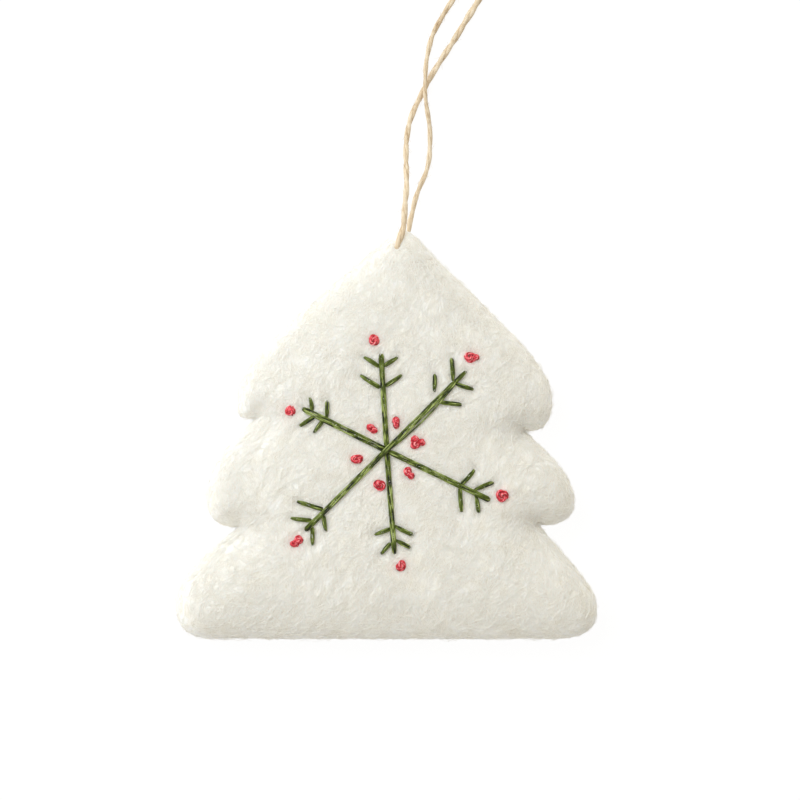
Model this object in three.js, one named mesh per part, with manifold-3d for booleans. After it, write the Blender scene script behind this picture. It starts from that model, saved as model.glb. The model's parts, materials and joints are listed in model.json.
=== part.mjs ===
// A plump wool-felt Christmas tree ornament with an embroidered snowflake and a twine hanging loop.
// It lies on its back: X runs to the right, Y to the top of the tree, Z out of its front. Millimetres.
import * as THREE from "three";
import { mergeVertices } from "three/addons/utils/BufferGeometryUtils.js";
import Module from "manifold-3d";

const wasm = await Module();
wasm.setup();

// Tree outline, from the middle of its width and height
const TREE_WIDTH = 110;
const TREE_HEIGHT = 106.5;
const APEX_X = 4.2;
const APEX_WIDTH = 5.2; // across the rounded top
const APEX_ROUND = 0.9; // how far the ends of that rounding lie under the top
const FOOT_LEFT = -44; // ends of the straight bottom edge
const FOOT_RIGHT = 43.5;
const FOOT_REACH = 7.5; // how far the bottom edge goes on straight before it turns up
const NOTCH_REACH = 5; // how far a tier's underside goes out straight from its notch
const NOTCH_DIP = 0.7; // how far that underside hangs

// The three tiers on each side, from the top. A slope leaves the tier above at its angle, in degrees, goes on
// for its reach and turns down at the shoulder into the tip; the tuck turns the tip under, to the notch.
const LEFT_SLOPES = [220.5, 222, 222];
const RIGHT_SLOPES = [-46.4, -42, -53];
const LEFT_TIERS = [
  { reach: 28, tip: [-38.8, 10], shoulder: 9, tuck: 4.6, notch: [-34.2, 4.3] },
  { reach: 8, tip: [-47, -16.6], shoulder: 8, tuck: 4.6, notch: [-38.6, -24] },
  { reach: 9, tip: [-TREE_WIDTH / 2, -44.8], shoulder: 8, tuck: 6.4 },
];
const RIGHT_TIERS = [
  { reach: 31, tip: [43.3, 8.6], shoulder: 10.5, tuck: 5.2, notch: [35.8, 1.1] },
  { reach: 8, tip: [49.1, -17.6], shoulder: 7, tuck: 4.6, notch: [39.6, -23.3] },
  { reach: 9.5, tip: [TREE_WIDTH / 2, -45.2], shoulder: 6, tuck: 6.4 },
];

// Felted wool
const FELT_RISE = 10; // half the thickness at its fullest
const EDGE_ROUND = 7; // how soon the edge swells to that
const FELT_WALL = 3; // the dense felted skin
const FELT_GAP = 0.3; // between the two skins
const CORE_GAP = 0.5; // between a skin and the loose wadding inside
const BACK_FLAT = 0.5; // depth of the flat that it lies on
const CREASE_DEPTH = 0.4; // share of the height lost where two tiers meet at a notch
const CREASE_LENGTH = 13; // how far a crease runs in from its notch
const CREASE_ABOVE = 2.6; // how wide it is towards the upper tier
const CREASE_BELOW = 5.5; // and towards the lower tier
const HEART = [0.8, -3.9]; // a point that sees the whole outline
const FACET = 6.2; // length of a facet along the outline
const SKIN_RINGS = [0, 0.26, 0.48, 0.66, 0.8, 0.9, 0.96, 0.99]; // shares of the way from the heart out
const INNER_RINGS = [0, 0.35, 0.65, 0.88];
const HALVINGS = 30; // steps of the search for the hollow's edge

// Embroidery
const THREAD = 0.9; // thickness of a stitch
const ARM_WIDTH = 1.3; // an arm has two threads side by side
const STITCH_GAP = 0.3; // under a stitch, and round it in its needle holes
const STITCH_END_SKIN = 0.8; // felt left under the end of a needle hole
const BARB_GAP = 0.35; // between a barb and its arm
const SNOWFLAKE = [0.1, -4]; // where the arms cross
const ARM_START = 2.6; // from the crossing to the inner end of an arm
const DIAGONAL_END = 24.3; // from the crossing to the upper end of the long diagonal stitch
const TIP_START = 26.5; // from the crossing to the short stitch that lengthens it
const STITCH_SPAN = 7; // between the points where a stitch follows the felt
const ARM_SIDES = 8;
const ARM_STEP = 2.6;
const BARB_SIDES = 6;
const BARB_STEP = 1.4;
const HOLE_SIDES = 6;

// Each arm ends at its tip. A barb leaves the arm at a distance from the crossing and ends at a point.
const ARMS = {
  top: {
    tip: [-1.4, 21.15],
    barbs: [
      { from: 22.3, to: [-5.9, 20.2] },
      { from: 22.4, to: [3, 20.2] },
      { from: 16.9, to: [-6.8, 15.6] },
      { from: 17.2, to: [4, 15.6] },
    ],
  },
  upper_right: {
    tip: [20.7, 16.6],
    barbs: [
      { from: 25.6, to: [16.9, 20] },
      { from: 25.4, to: [22.6, 11.8] },
      { from: 18.8, to: [12.5, 15.8] },
      { from: 19, to: [19.6, 7.8] },
    ],
  },
  left: {
    tip: [-21.8, 6.9],
    barbs: [
      { from: 22.6, to: [-19.9, 9.7] },
      { from: 21.2, to: [-22.5, 2.3] },
      { from: 18.1, to: [-15.4, 9] },
      { from: 18.4, to: [-18.8, 0.6] },
    ],
  },
  lower_left: {
    tip: [-21.1, -24.8],
    barbs: [
      { from: 27.2, to: [-24.8, -21.5] },
      { from: 28.4, to: [-19.1, -28.6] },
      { from: 22.9, to: [-23.2, -17.2] },
      { from: 24.1, to: [-15.6, -24.9] },
    ],
  },
  bottom: {
    tip: [2.1, -30.9],
    barbs: [
      { from: 24.7, to: [-1.4, -30.9] },
      { from: 23.9, to: [6.3, -29.3] },
      { from: 20.5, to: [-3.1, -25.8] },
      { from: 20.1, to: [7, -25.9] },
    ],
  },
  right: {
    tip: [26.9, -16.9],
    barbs: [
      { from: 25.7, to: [27.8, -12.3] },
      { from: 26.5, to: [23.9, -20.2] },
      { from: 21.4, to: [22.8, -8.9] },
      { from: 21.8, to: [19.5, -20] },
    ],
  },
};

// French knots beyond the arms' tips and between the arms: place, and width and height from the front
const KNOT_STEM = 0.9;
const KNOT_RISE = 1.9;
const KNOT_SIDES = 9;
const KNOT_PROFILE = [
  [0.8, 0.1],
  [1, 0.45],
  [0.85, 0.85],
  [0.45, 1],
  [0, 0.8],
]; // shares of the radius and of the rise, from the felt up and in to the dimple
const FRENCH_KNOTS = {
  top: { at: [-3.2, 24.6], size: [2.4, 3] },
  upper_right: { at: [22.2, 20.2], size: [3.4, 3] },
  left: { at: [-24.9, 6.3], size: [2.7, 2.4] },
  lower_left: { at: [-23.2, -27.5], size: [3.3, 3] },
  bottom: { at: [3.8, -33.8], size: [2.4, 2.7] },
  right: { at: [30, -15.7], size: [2.8, 3.2] },
  inner_1: { at: [-3.7, 1.7], size: [3, 2.6] },
  inner_2: { at: [2.5, 3.3], size: [2.4, 2.9] },
  inner_3: { at: [8.1, -1.8], size: [3.8, 3.4] },
  inner_4: { at: [5.9, -9.9], size: [2.9, 3.1] },
  inner_5: { at: [-1.7, -12.9], size: [2.8, 2.8] },
  inner_6: { at: [-7.6, -6.2], size: [2.8, 2.4] },
};

// Twine
const CORD = 1.6; // diameter
const CORD_SIDES = 8;
const CORD_STEP = 4;
const CORD_GAP = 0.3; // round the twine in the felt, and between its pieces
const TABLE_GAP = 0.05; // under the twine where it lies

// The turn of twine through the felt under the apex, from its front end to its back end: place from the
// apex, and height over the middle plane as a share of the felt's half thickness at the needle's entry
const NEEDLE_ENTRY = [-1.4, -4.2];
const TURN_ROUTE = [
  [0.2, 0.65, 0.8],
  [-0.6, -1.9, 0.92],
  [-1.4, -4.2, 0.95],
  [-1.8, -5.9, 0.6],
  [-1.5, -6.6, 0.22],
  [-0.7, -6.6, -0.22],
  [0, -5.9, -0.6],
  [0.5, -4.2, -0.95],
  [1, -1.9, -0.92],
  [1.7, 0.65, -0.8],
];
const TURN_STEPS = 18;

// The loop's two strands swing on the end of that turn, about an axis along Z
const PIVOT = [1.15, 2.35]; // from the apex to the axis
const STRAND_SPREAD = 0.75; // from the axis to each strand, sideways
const FRONT_LEAVES = 0.76; // height of each strand at the axis, on the scale of the turn
const BACK_LEAVES = -0.8;
const BALL_SHARE = 0.95; // radius of a strand's rounded end, against the twine's
const BALL_RINGS = 6;

// Their routes, from the axis
const FRONT_ROUTE = [
  [-0.5, 4.7],
  [-0.15, 8.2],
  [-0.15, 12.1],
  [-0.25, 16.4],
  [-0.15, 21.2],
  [0.55, 25.9],
  [1.85, 29.8],
  [3.55, 33.3],
  [5.35, 36.8],
  [7.25, 40.2],
  [10.05, 44.6],
  [12.85, 48.9],
  [15.45, 53.2],
  [18.45, 58],
  [21, 62.6],
  [23.4, 67],
  [25.7, 71.1],
];
const BACK_ROUTE = [
  [1.4, 2.6],
  [2.25, 6.4],
  [3.55, 9.9],
  [4.85, 12.9],
  [5.75, 16.4],
  [6.05, 19.9],
  [6.05, 24.2],
  [5.6, 28.1],
  [5.05, 31.5],
  [4.75, 35],
  [4.85, 38.5],
  [5.05, 41.9],
  [5.65, 45.4],
  [6.55, 48.9],
  [7.9, 51.9],
  [9.65, 55],
  [11.55, 58],
  [14.5, 62],
  [17.8, 66],
  [21.2, 69.6],
  [24.1, 72.1],
];
const FRONT_FALL = 32; // the length over which each strand comes down to the table
const BACK_FALL = 15;
const CROSSING = [4.8, 36.2]; // where the back strand climbs over the front one
const CROSSING_HUMP = 15; // half the length of its hump there

// The knot that joins the strands' far ends, from the axis
const KNOT_AT = [27.6, 76.3];
const KNOT_TURN = 60; // direction of the knot's length, in degrees from X
const KNOT_LENGTH = 7.6;
const KNOT_WRAPS = 2;
const KNOT_PITCH = 2.1;
const WRAP_RADIUS = 1.9; // to the middle of the wrapped twine
const WRAP_STEPS = 14; // for each wrap
const CORE_RADIUS = 1.4;
const KNOT_CLIMB = 12; // the length over which the strands climb to the knot
const STRAND_PITCH = 1.95; // between the strands at the knot
const TAIL_LENGTH = 8.5;
const TAIL_SPLAY = 12; // degrees between a tail and the knot's length
const TAIL_SHARES = [0, 0.3, 0.7, 1]; // places along a tail that its curve goes through
const TAIL_DROOPS = 0.1; // share of its length that stays level

// Smallest lengths that count: for joining corners, and off the line of an edge
const SAME_POINT = 1e-4;
const LEAST_OFF = 1e-3;

const FELT = new THREE.MeshStandardMaterial({ color: 0xf3f0e8, roughness: 0.95, metalness: 0 });
const WADDING = new THREE.MeshStandardMaterial({ color: 0xece8de, roughness: 1, metalness: 0 });
const GREEN_FLOSS = new THREE.MeshStandardMaterial({ color: 0x6f7440, roughness: 0.7, metalness: 0 });
const RED_FLOSS = new THREE.MeshStandardMaterial({ color: 0xc64238, roughness: 0.7, metalness: 0 });
const TWINE = new THREE.MeshStandardMaterial({ color: 0xb09470, roughness: 0.9, metalness: 0 });

const MIDDLE = FELT_RISE - BACK_FLAT; // height of the plane where the two skins meet
const LEG = FELT_WALL - STITCH_END_SKIN - STITCH_GAP; // how deep a stitch's ends go into the felt
const CORD_RADIUS = CORD / 2;
const LYING = CORD_RADIUS + TABLE_GAP; // height of the twine's middle where it lies on the table
const KNOT_HEIGHT = WRAP_RADIUS + LYING;
const APEX = [APEX_X, TREE_HEIGHT / 2];
const AXIS = [APEX[0] + PIVOT[0], APEX[1] + PIVOT[1]];

function radians(degrees) {
  return THREE.MathUtils.degToRad(degrees);
}

// A closed geometry as a solid, for joining and cutting
function toSolid(geometry) {
  const bare = new THREE.BufferGeometry();
  bare.setAttribute("position", geometry.getAttribute("position"));
  bare.setIndex(geometry.index);
  const merged = mergeVertices(bare, SAME_POINT);
  const vertProperties = merged.attributes.position.array;
  const triVerts = new Uint32Array(merged.index.array);
  return new wasm.Manifold(new wasm.Mesh({ numProp: 3, vertProperties, triVerts }));
}

function toGeometry(solid) {
  const mesh = solid.getMesh();
  const geometry = new THREE.BufferGeometry();
  geometry.setAttribute("position", new THREE.BufferAttribute(mesh.vertProperties, 3));
  geometry.setIndex(new THREE.BufferAttribute(mesh.triVerts, 1));
  geometry.computeVertexNormals();
  return geometry;
}

function named(name, geometry, material) {
  const mesh = new THREE.Mesh(geometry, material);
  mesh.name = name;
  return mesh;
}

// One side of the outline as curves, from the rounded top down to the bottom edge; side is -1 on the left
function sideCurves(tiers, slopes, side, footX) {
  const curves = [];
  let start = new THREE.Vector2(APEX[0] + (side * APEX_WIDTH) / 2, APEX[1] - APEX_ROUND);
  for (const [i, tier] of tiers.entries()) {
    const tip = new THREE.Vector2(...tier.tip);
    const angle = radians(slopes[i]);
    const leave = new THREE.Vector2(Math.cos(angle), Math.sin(angle)).multiplyScalar(tier.reach).add(start);
    const above = new THREE.Vector2(tip.x, tip.y + tier.shoulder);
    const below = new THREE.Vector2(tip.x, tip.y - tier.tuck);
    const end = tier.notch ? new THREE.Vector2(...tier.notch) : new THREE.Vector2(footX, -TREE_HEIGHT / 2);
    const reach = tier.notch ? [side * NOTCH_REACH, -NOTCH_DIP] : [side * FOOT_REACH, 0];
    const under = new THREE.Vector2(end.x + reach[0], end.y + reach[1]);
    curves.push(new THREE.CubicBezierCurve(start, leave, above, tip));
    curves.push(new THREE.CubicBezierCurve(tip, below, under, end));
    start = end;
  }
  return curves;
}

// The outline's points, anticlockwise from the right end of the rounded top
function outlinePoints() {
  const left = sideCurves(LEFT_TIERS, LEFT_SLOPES, -1, FOOT_LEFT);
  const right = sideCurves(RIGHT_TIERS, RIGHT_SLOPES, 1, FOOT_RIGHT);
  const climb = right.map((c) => new THREE.CubicBezierCurve(c.v3, c.v2, c.v1, c.v0)).reverse();
  const [capStart, capEnd] = [right[0].v0, left[0].v0];
  const lift = new THREE.Vector2(0, APEX_ROUND / 0.75); // a cubic rises three quarters of its handles
  const cap = new THREE.CubicBezierCurve(
    capStart,
    capStart.clone().add(lift),
    capEnd.clone().add(lift),
    capEnd,
  );
  const bottom = new THREE.LineCurve(left.at(-1).v3, climb[0].v0);
  return [cap, ...left, bottom, ...climb].flatMap((curve) => {
    const pairs = Math.max(2, Math.round(curve.getLength() / FACET / 2));
    return curve.getSpacedPoints(2 * pairs).slice(0, -1);
  });
}

const OUTLINE = outlinePoints();
const EDGES = OUTLINE.map((from, i) => {
  const run = OUTLINE[(i + 1) % OUTLINE.length].clone().sub(from);
  return { from, length: run.length(), along: run.normalize() };
});

// A smooth distance from the outline: the pull of every edge, the inverse fourth power of the distance
// summed along it, is turned back into the distance of one long straight edge with that pull.
function edgeDistance(x, y) {
  let pull = 0;
  for (const { from, length, along } of EDGES) {
    const s = (x - from.x) * along.x + (y - from.y) * along.y;
    const off = Math.max(Math.abs((x - from.x) * along.y - (y - from.y) * along.x), LEAST_OFF);
    const sum = (t) => t / (2 * off ** 2 * (off ** 2 + t ** 2)) + Math.atan(t / off) / (2 * off ** 3);
    pull += sum(length - s) - sum(-s);
  }
  return ((2 * pull) / Math.PI) ** (-1 / 3);
}

// Share of the height that is left near the creases, which run in from the notches
function creased(x, y) {
  let left = 1;
  for (const { notch } of [...LEFT_TIERS, ...RIGHT_TIERS].filter((tier) => tier.notch)) {
    const along = (x - notch[0]) / CREASE_LENGTH;
    const up = y - notch[1];
    const across = up / (up > 0 ? CREASE_ABOVE : CREASE_BELOW);
    left -= CREASE_DEPTH * Math.exp(-(along ** 2) - across ** 2);
  }
  return left;
}

// Height over the middle plane of a swollen surface that starts at an inset from the outline
function swell(x, y, inset) {
  const edge = Math.max(edgeDistance(x, y) - inset, 0);
  return (FELT_RISE - inset) * Math.sqrt(1 - Math.exp(-edge / EDGE_ROUND)) * creased(x, y);
}

function frontHeight(x, y) {
  return MIDDLE + FELT_GAP / 2 + swell(x, y, 0);
}

function fromHeart(point, share) {
  return [HEART[0] + share * (point.x - HEART[0]), HEART[1] + share * (point.y - HEART[1])];
}

// For each outline point, the share of the way from the heart where a place in the felt ends: its outside,
// the hollow where the smooth distance is the felt's wall, and the wadding just inside that
const OUTSIDE = OUTLINE.map(() => 1);
const HOLLOW = OUTLINE.map((point) => {
  let [inside, outside] = [0, 1];
  for (let halving = 0; halving < HALVINGS; halving++) {
    const share = (inside + outside) / 2;
    if (edgeDistance(...fromHeart(point, share)) > FELT_WALL) inside = share;
    else outside = share;
  }
  return inside;
});
const WADDED = OUTLINE.map(({ x, y }, i) => HOLLOW[i] - CORE_GAP / Math.hypot(x - HEART[0], y - HEART[1]));

// Rings of points from the heart out towards an edge, and last the rim with its own height
function rings(shares, edge, heightAt, rim, rimHeight) {
  const inner = shares.map((share) =>
    OUTLINE.map((point, i) => {
      const [x, y] = fromHeart(point, share * edge[i]);
      return [x, y, heightAt(x, y)];
    }),
  );
  return [...inner, OUTLINE.map((point, i) => [...fromHeart(point, rim[i]), rimHeight])];
}

// A closed body from rings that go out from a point on its upper side and back in to a point below. The
// facets are cut from corner to corner the same way above and below, so that nested bodies match.
function ringedBody(upper, lower) {
  const stack = [...upper, ...lower.toReversed()];
  const count = OUTLINE.length;
  const index = [];
  for (let ring = 0; ring + 1 < stack.length; ring++) {
    for (let i = 0; i < count; i++) {
      const [a, b] = [ring * count + i, ring * count + ((i + 1) % count)];
      const [c, d] = [a + count, b + count];
      if (ring === 0) index.push(a, c, d);
      else if (ring + 2 === stack.length) index.push(a, c, b);
      else if (ring + 1 < upper.length) index.push(a, c, d, a, d, b);
      else index.push(a, c, b, c, d, b);
    }
  }
  const geometry = new THREE.BufferGeometry();
  geometry.setAttribute("position", new THREE.Float32BufferAttribute(stack.flat(2), 3));
  geometry.setIndex(index);
  return geometry;
}

function feltFront() {
  const rim = MIDDLE + FELT_GAP / 2;
  const outer = rings(SKIN_RINGS, OUTSIDE, frontHeight, OUTSIDE, rim);
  const inner = rings(INNER_RINGS, HOLLOW, (x, y) => rim + swell(x, y, FELT_WALL), HOLLOW, rim);
  return ringedBody(outer, inner);
}

// The back skin is flat where it lies on the table
function feltBack() {
  const rim = MIDDLE - FELT_GAP / 2;
  const inner = rings(INNER_RINGS, HOLLOW, (x, y) => rim - swell(x, y, FELT_WALL), HOLLOW, rim);
  const outer = rings(SKIN_RINGS, OUTSIDE, (x, y) => Math.max(rim - swell(x, y, 0), 0), OUTSIDE, rim);
  return ringedBody(inner, outer);
}

// The wadding keeps its distance from the hollow that it fills
function woolCore() {
  const rise = (x, y) => swell(x, y, FELT_WALL) + FELT_GAP / 2 - CORE_GAP;
  const upper = rings(INNER_RINGS, HOLLOW, (x, y) => MIDDLE + rise(x, y), WADDED, MIDDLE);
  const lower = rings(INNER_RINGS, HOLLOW, (x, y) => MIDDLE - rise(x, y), WADDED, MIDDLE);
  return ringedBody(upper, lower.slice(0, -1));
}

function roundSection(thickness, width, sides) {
  const points = Array.from({ length: sides }, (_, i) => {
    const turn = (2 * Math.PI * (i + 0.5)) / sides;
    return new THREE.Vector2((thickness / 2) * Math.cos(turn), (width / 2) * Math.sin(turn));
  });
  return new THREE.Shape(points);
}

function tube(path, section, step) {
  const steps = Math.ceil(path.getLength() / step);
  return new THREE.ExtrudeGeometry(section, { extrudePath: path, steps, bevelEnabled: false });
}

const needleHoles = [];

// A stitch comes up out of one needle hole, runs over the felt and goes down the other. It is made along
// X from its first hole and then turned into its direction.
function stitch(name, from, to, width, sides, step) {
  const run = new THREE.Vector2(to[0] - from[0], to[1] - from[1]);
  const length = run.length();
  const lift = THREAD / 2 + STITCH_GAP;
  const felt = (s) => frontHeight(from[0] + (run.x * s) / length, from[1] + (run.y * s) / length);
  const spans = Math.max(2, Math.round(length / STITCH_SPAN));
  const over = Array.from({ length: spans + 1 }, (_, i) => {
    const s = lift + ((length - 2 * lift) * i) / spans;
    return new THREE.Vector3(s, 0, felt(s) + lift);
  });
  const leg = (s) => [new THREE.Vector3(s, 0, felt(s) - LEG), new THREE.Vector3(s, 0, felt(s))];
  const path = new THREE.CatmullRomCurve3([...leg(0), ...over, ...leg(length).reverse()]);
  const mesh = named(name, tube(path, roundSection(THREAD, width, sides), step), GREEN_FLOSS);
  mesh.position.set(from[0], from[1], 0);
  mesh.rotation.z = run.angle();
  needleHoles.push({ at: from, radius: width / 2 + STITCH_GAP });
  needleHoles.push({ at: to, radius: width / 2 + STITCH_GAP });
  return mesh;
}

function armPoint(tip, distance, sideways = 0) {
  const along = new THREE.Vector2(tip[0] - SNOWFLAKE[0], tip[1] - SNOWFLAKE[1]).normalize();
  const x = SNOWFLAKE[0] + along.x * distance - along.y * sideways;
  const y = SNOWFLAKE[1] + along.y * distance + along.x * sideways;
  return [x, y];
}

// The long diagonal stitch lies over the crossing, and the four other arms start beside it
function snowflake() {
  const group = new THREE.Group();
  const arm = (name, from, to) => group.add(stitch(name, from, to, ARM_WIDTH, ARM_SIDES, ARM_STEP));
  const diagonalTip = ARMS.upper_right.tip;
  arm("arm_diagonal", ARMS.lower_left.tip, armPoint(diagonalTip, DIAGONAL_END));
  for (const name of ["top", "left", "bottom", "right"]) {
    arm(`arm_${name}`, armPoint(ARMS[name].tip, ARM_START), ARMS[name].tip);
  }
  const tipStart = armPoint(diagonalTip, TIP_START);
  group.add(stitch("arm_diagonal_tip", tipStart, diagonalTip, THREAD, BARB_SIDES, BARB_STEP));
  const beside = ARM_WIDTH / 2 + BARB_GAP + THREAD / 2;
  for (const [name, { tip, barbs }] of Object.entries(ARMS)) {
    barbs.forEach(({ from, to }, i) => {
      const foot = armPoint(tip, from);
      const turn = (tip[0] - foot[0]) * (to[1] - foot[1]) - (tip[1] - foot[1]) * (to[0] - foot[0]);
      const start = armPoint(tip, from, Math.sign(turn) * beside);
      group.add(stitch(`barb_${name}_${i + 1}`, start, to, THREAD, BARB_SIDES, BARB_STEP));
    });
  }
  return group;
}

// A French knot is a plump ring of wraps with a dimple, on a stem that goes down into the felt
function frenchKnot(name, { at, size }) {
  const mean = (size[0] + size[1]) / 2;
  const wraps = KNOT_PROFILE.map(([out, up]) => [(out * mean) / 2, STITCH_GAP + up * KNOT_RISE]);
  const stem = [
    [0, -LEG],
    [KNOT_STEM / 2, -LEG],
    [KNOT_STEM / 2, STITCH_GAP],
  ];
  const profile = [...stem, ...wraps].map((point) => new THREE.Vector2(...point));
  const geometry = new THREE.LatheGeometry(profile, KNOT_SIDES).rotateX(Math.PI / 2);
  const mesh = named(`knot_${name}`, geometry, RED_FLOSS);
  mesh.position.set(at[0], at[1], frontHeight(...at));
  mesh.scale.set(size[0] / mean, size[1] / mean, 1);
  needleHoles.push({ at, radius: (KNOT_STEM * Math.max(...size)) / mean / 2 + STITCH_GAP });
  return mesh;
}

// The needle holes go down past the ends of the stitches
function holeCutters() {
  return needleHoles.map(({ at, radius }) => {
    const [bottom, top] = [frontHeight(...at) - LEG - STITCH_GAP, frontHeight(...at) + FELT_WALL];
    const geometry = new THREE.CylinderGeometry(radius, radius, top - bottom, HOLE_SIDES);
    geometry.rotateX(Math.PI / 2).translate(at[0], at[1], (top + bottom) / 2);
    return toSolid(geometry);
  });
}

const TURN_HEIGHT = swell(APEX[0] + NEEDLE_ENTRY[0], APEX[1] + NEEDLE_ENTRY[1], 0);

function turnPath() {
  const points = TURN_ROUTE.map(
    ([x, y, share]) => new THREE.Vector3(APEX[0] + x, APEX[1] + y, MIDDLE + share * TURN_HEIGHT),
  );
  return new THREE.CatmullRomCurve3(points);
}

function turnOfTwine(diameter) {
  const path = turnPath();
  return tube(path, roundSection(diameter, diameter, CORD_SIDES), path.getLength() / TURN_STEPS);
}

// A point of the knot's end, from the axis: end is -1 where the strands come in and 1 where the tails go out
function knotEnd(end, sideways) {
  const turn = radians(KNOT_TURN);
  const x = KNOT_AT[0] + (end * KNOT_LENGTH * Math.cos(turn)) / 2 - sideways * Math.sin(turn);
  const y = KNOT_AT[1] + (end * KNOT_LENGTH * Math.sin(turn)) / 2 + sideways * Math.cos(turn);
  return [x, y];
}

// A strand comes down from the felt to the table, may climb over the other, and climbs to the knot
function strand(name, route, side, leaves, fall, hump) {
  const start = MIDDLE + leaves * TURN_HEIGHT - LYING;
  const end = knotEnd(-1, (side * STRAND_PITCH) / 2);
  const points = [[side * STRAND_SPREAD, 0], ...route, end].map(([x, y]) => {
    const fallen = start * (1 - THREE.MathUtils.smoothstep(y, 0, fall));
    const away = Math.min(Math.hypot(x - CROSSING[0], y - CROSSING[1]) / CROSSING_HUMP, 1);
    const over = hump * Math.cos((away * Math.PI) / 2) ** 2;
    const left = Math.hypot(x - end[0], y - end[1]);
    const climb = (KNOT_HEIGHT - LYING) * (1 - THREE.MathUtils.smoothstep(left, 0, KNOT_CLIMB));
    return new THREE.Vector3(x, y, LYING + fallen + over + climb);
  });
  const geometry = tube(
    new THREE.CatmullRomCurve3(points),
    roundSection(CORD, CORD, CORD_SIDES),
    CORD_STEP,
  );
  const ball = new THREE.SphereGeometry(BALL_SHARE * CORD_RADIUS, CORD_SIDES, BALL_RINGS);
  ball.translate(...points[0]);
  return named(name, toGeometry(toSolid(geometry).add(toSolid(ball))), TWINE);
}

// The knot: wraps of twine round a core, along X and then turned into its direction
function cordKnot() {
  const steps = KNOT_WRAPS * WRAP_STEPS;
  const helix = Array.from({ length: steps + 1 }, (_, i) => {
    const turn = (2 * Math.PI * i) / WRAP_STEPS;
    const x = KNOT_PITCH * (i / WRAP_STEPS - KNOT_WRAPS / 2);
    return new THREE.Vector3(x, WRAP_RADIUS * Math.cos(turn), WRAP_RADIUS * Math.sin(turn));
  });
  const path = new THREE.CatmullRomCurve3(helix);
  const wraps = tube(path, roundSection(CORD, CORD, CORD_SIDES), path.getLength() / steps);
  const coreLength = KNOT_LENGTH - 2 * CORD_GAP;
  const core = new THREE.CylinderGeometry(CORE_RADIUS, CORE_RADIUS, coreLength, CORD_SIDES);
  const joined = toSolid(core.rotateZ(Math.PI / 2)).add(toSolid(wraps));
  const mesh = named("cord_knot", toGeometry(joined), TWINE);
  mesh.position.set(KNOT_AT[0], KNOT_AT[1], KNOT_HEIGHT);
  mesh.rotation.z = radians(KNOT_TURN);
  return mesh;
}

// A cut end of twine that comes out of the knot and droops to the table
function tail(name, side) {
  const [x, y] = knotEnd(1, (side * STRAND_PITCH) / 2);
  const turn = radians(KNOT_TURN + side * TAIL_SPLAY);
  const points = TAIL_SHARES.map((share) => {
    const drop = (KNOT_HEIGHT - LYING) * THREE.MathUtils.smoothstep(share, TAIL_DROOPS, 1);
    const out = share * TAIL_LENGTH;
    return new THREE.Vector3(x + out * Math.cos(turn), y + out * Math.sin(turn), KNOT_HEIGHT - drop);
  });
  const path = new THREE.CatmullRomCurve3(points);
  return named(name, tube(path, roundSection(CORD, CORD, CORD_SIDES), CORD_STEP), TWINE);
}

function hangingLoop() {
  const group = new THREE.Group();
  const hump = CORD + CORD_GAP;
  group.add(strand("cord_front_strand", FRONT_ROUTE, -1, FRONT_LEAVES, FRONT_FALL, 0));
  group.add(strand("cord_back_strand", BACK_ROUTE, 1, BACK_LEAVES, BACK_FALL, hump));
  group.add(cordKnot());
  group.add(tail("cord_tail_1", -1));
  group.add(tail("cord_tail_2", 1));
  group.position.set(AXIS[0], AXIS[1], 0);
  return group;
}

const ornament = new THREE.Group();
ornament.add(snowflake());
for (const [name, knot] of Object.entries(FRENCH_KNOTS)) ornament.add(frenchKnot(name, knot));

const tunnel = toSolid(turnOfTwine(CORD + 2 * CORD_GAP));
const front = holeCutters().reduce((felt, hole) => felt.subtract(hole), toSolid(feltFront()));
ornament.add(named("felt_front", toGeometry(front.subtract(tunnel)), FELT));
ornament.add(named("felt_back", toGeometry(toSolid(feltBack()).subtract(tunnel)), FELT));
ornament.add(named("wool_core", toGeometry(toSolid(woolCore()).subtract(tunnel)), WADDING));
ornament.add(named("cord_turn", turnOfTwine(CORD), TWINE));
ornament.add(hangingLoop());

export default ornament;
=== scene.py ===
"""A plump felted-wool Christmas tree with an embroidered snowflake and a hanging loop of twine.

Shapes are worked out in millimetres in the part's own frame, with X to the right, Y to the apex and Z out of
the front, and are put into their meshes in metres.
"""
import json
import math

import bpy
import numpy as np
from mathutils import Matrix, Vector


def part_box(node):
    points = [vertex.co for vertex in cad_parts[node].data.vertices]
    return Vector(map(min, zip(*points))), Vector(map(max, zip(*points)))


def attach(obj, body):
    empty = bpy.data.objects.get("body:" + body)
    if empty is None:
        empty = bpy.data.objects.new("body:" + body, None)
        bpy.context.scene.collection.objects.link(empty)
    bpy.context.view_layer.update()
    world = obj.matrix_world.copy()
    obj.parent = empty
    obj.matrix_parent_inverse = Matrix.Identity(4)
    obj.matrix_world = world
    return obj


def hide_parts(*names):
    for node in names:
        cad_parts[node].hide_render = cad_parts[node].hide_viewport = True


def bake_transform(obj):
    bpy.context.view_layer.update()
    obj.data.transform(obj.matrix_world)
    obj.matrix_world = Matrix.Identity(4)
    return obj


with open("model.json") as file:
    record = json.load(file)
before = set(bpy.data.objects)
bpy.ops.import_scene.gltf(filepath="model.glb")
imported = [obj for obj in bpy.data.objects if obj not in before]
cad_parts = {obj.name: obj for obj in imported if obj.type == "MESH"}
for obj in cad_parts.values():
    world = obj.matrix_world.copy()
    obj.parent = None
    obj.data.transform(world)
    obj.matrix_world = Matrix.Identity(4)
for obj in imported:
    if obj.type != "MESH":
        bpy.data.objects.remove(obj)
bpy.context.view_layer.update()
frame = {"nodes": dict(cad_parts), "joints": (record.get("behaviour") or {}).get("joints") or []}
MM = 0.001


def corners(node):
    """Lowest and highest corner of a solid, in millimetres."""
    low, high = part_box(node)
    return np.array(low) / MM, np.array(high) / MM


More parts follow.
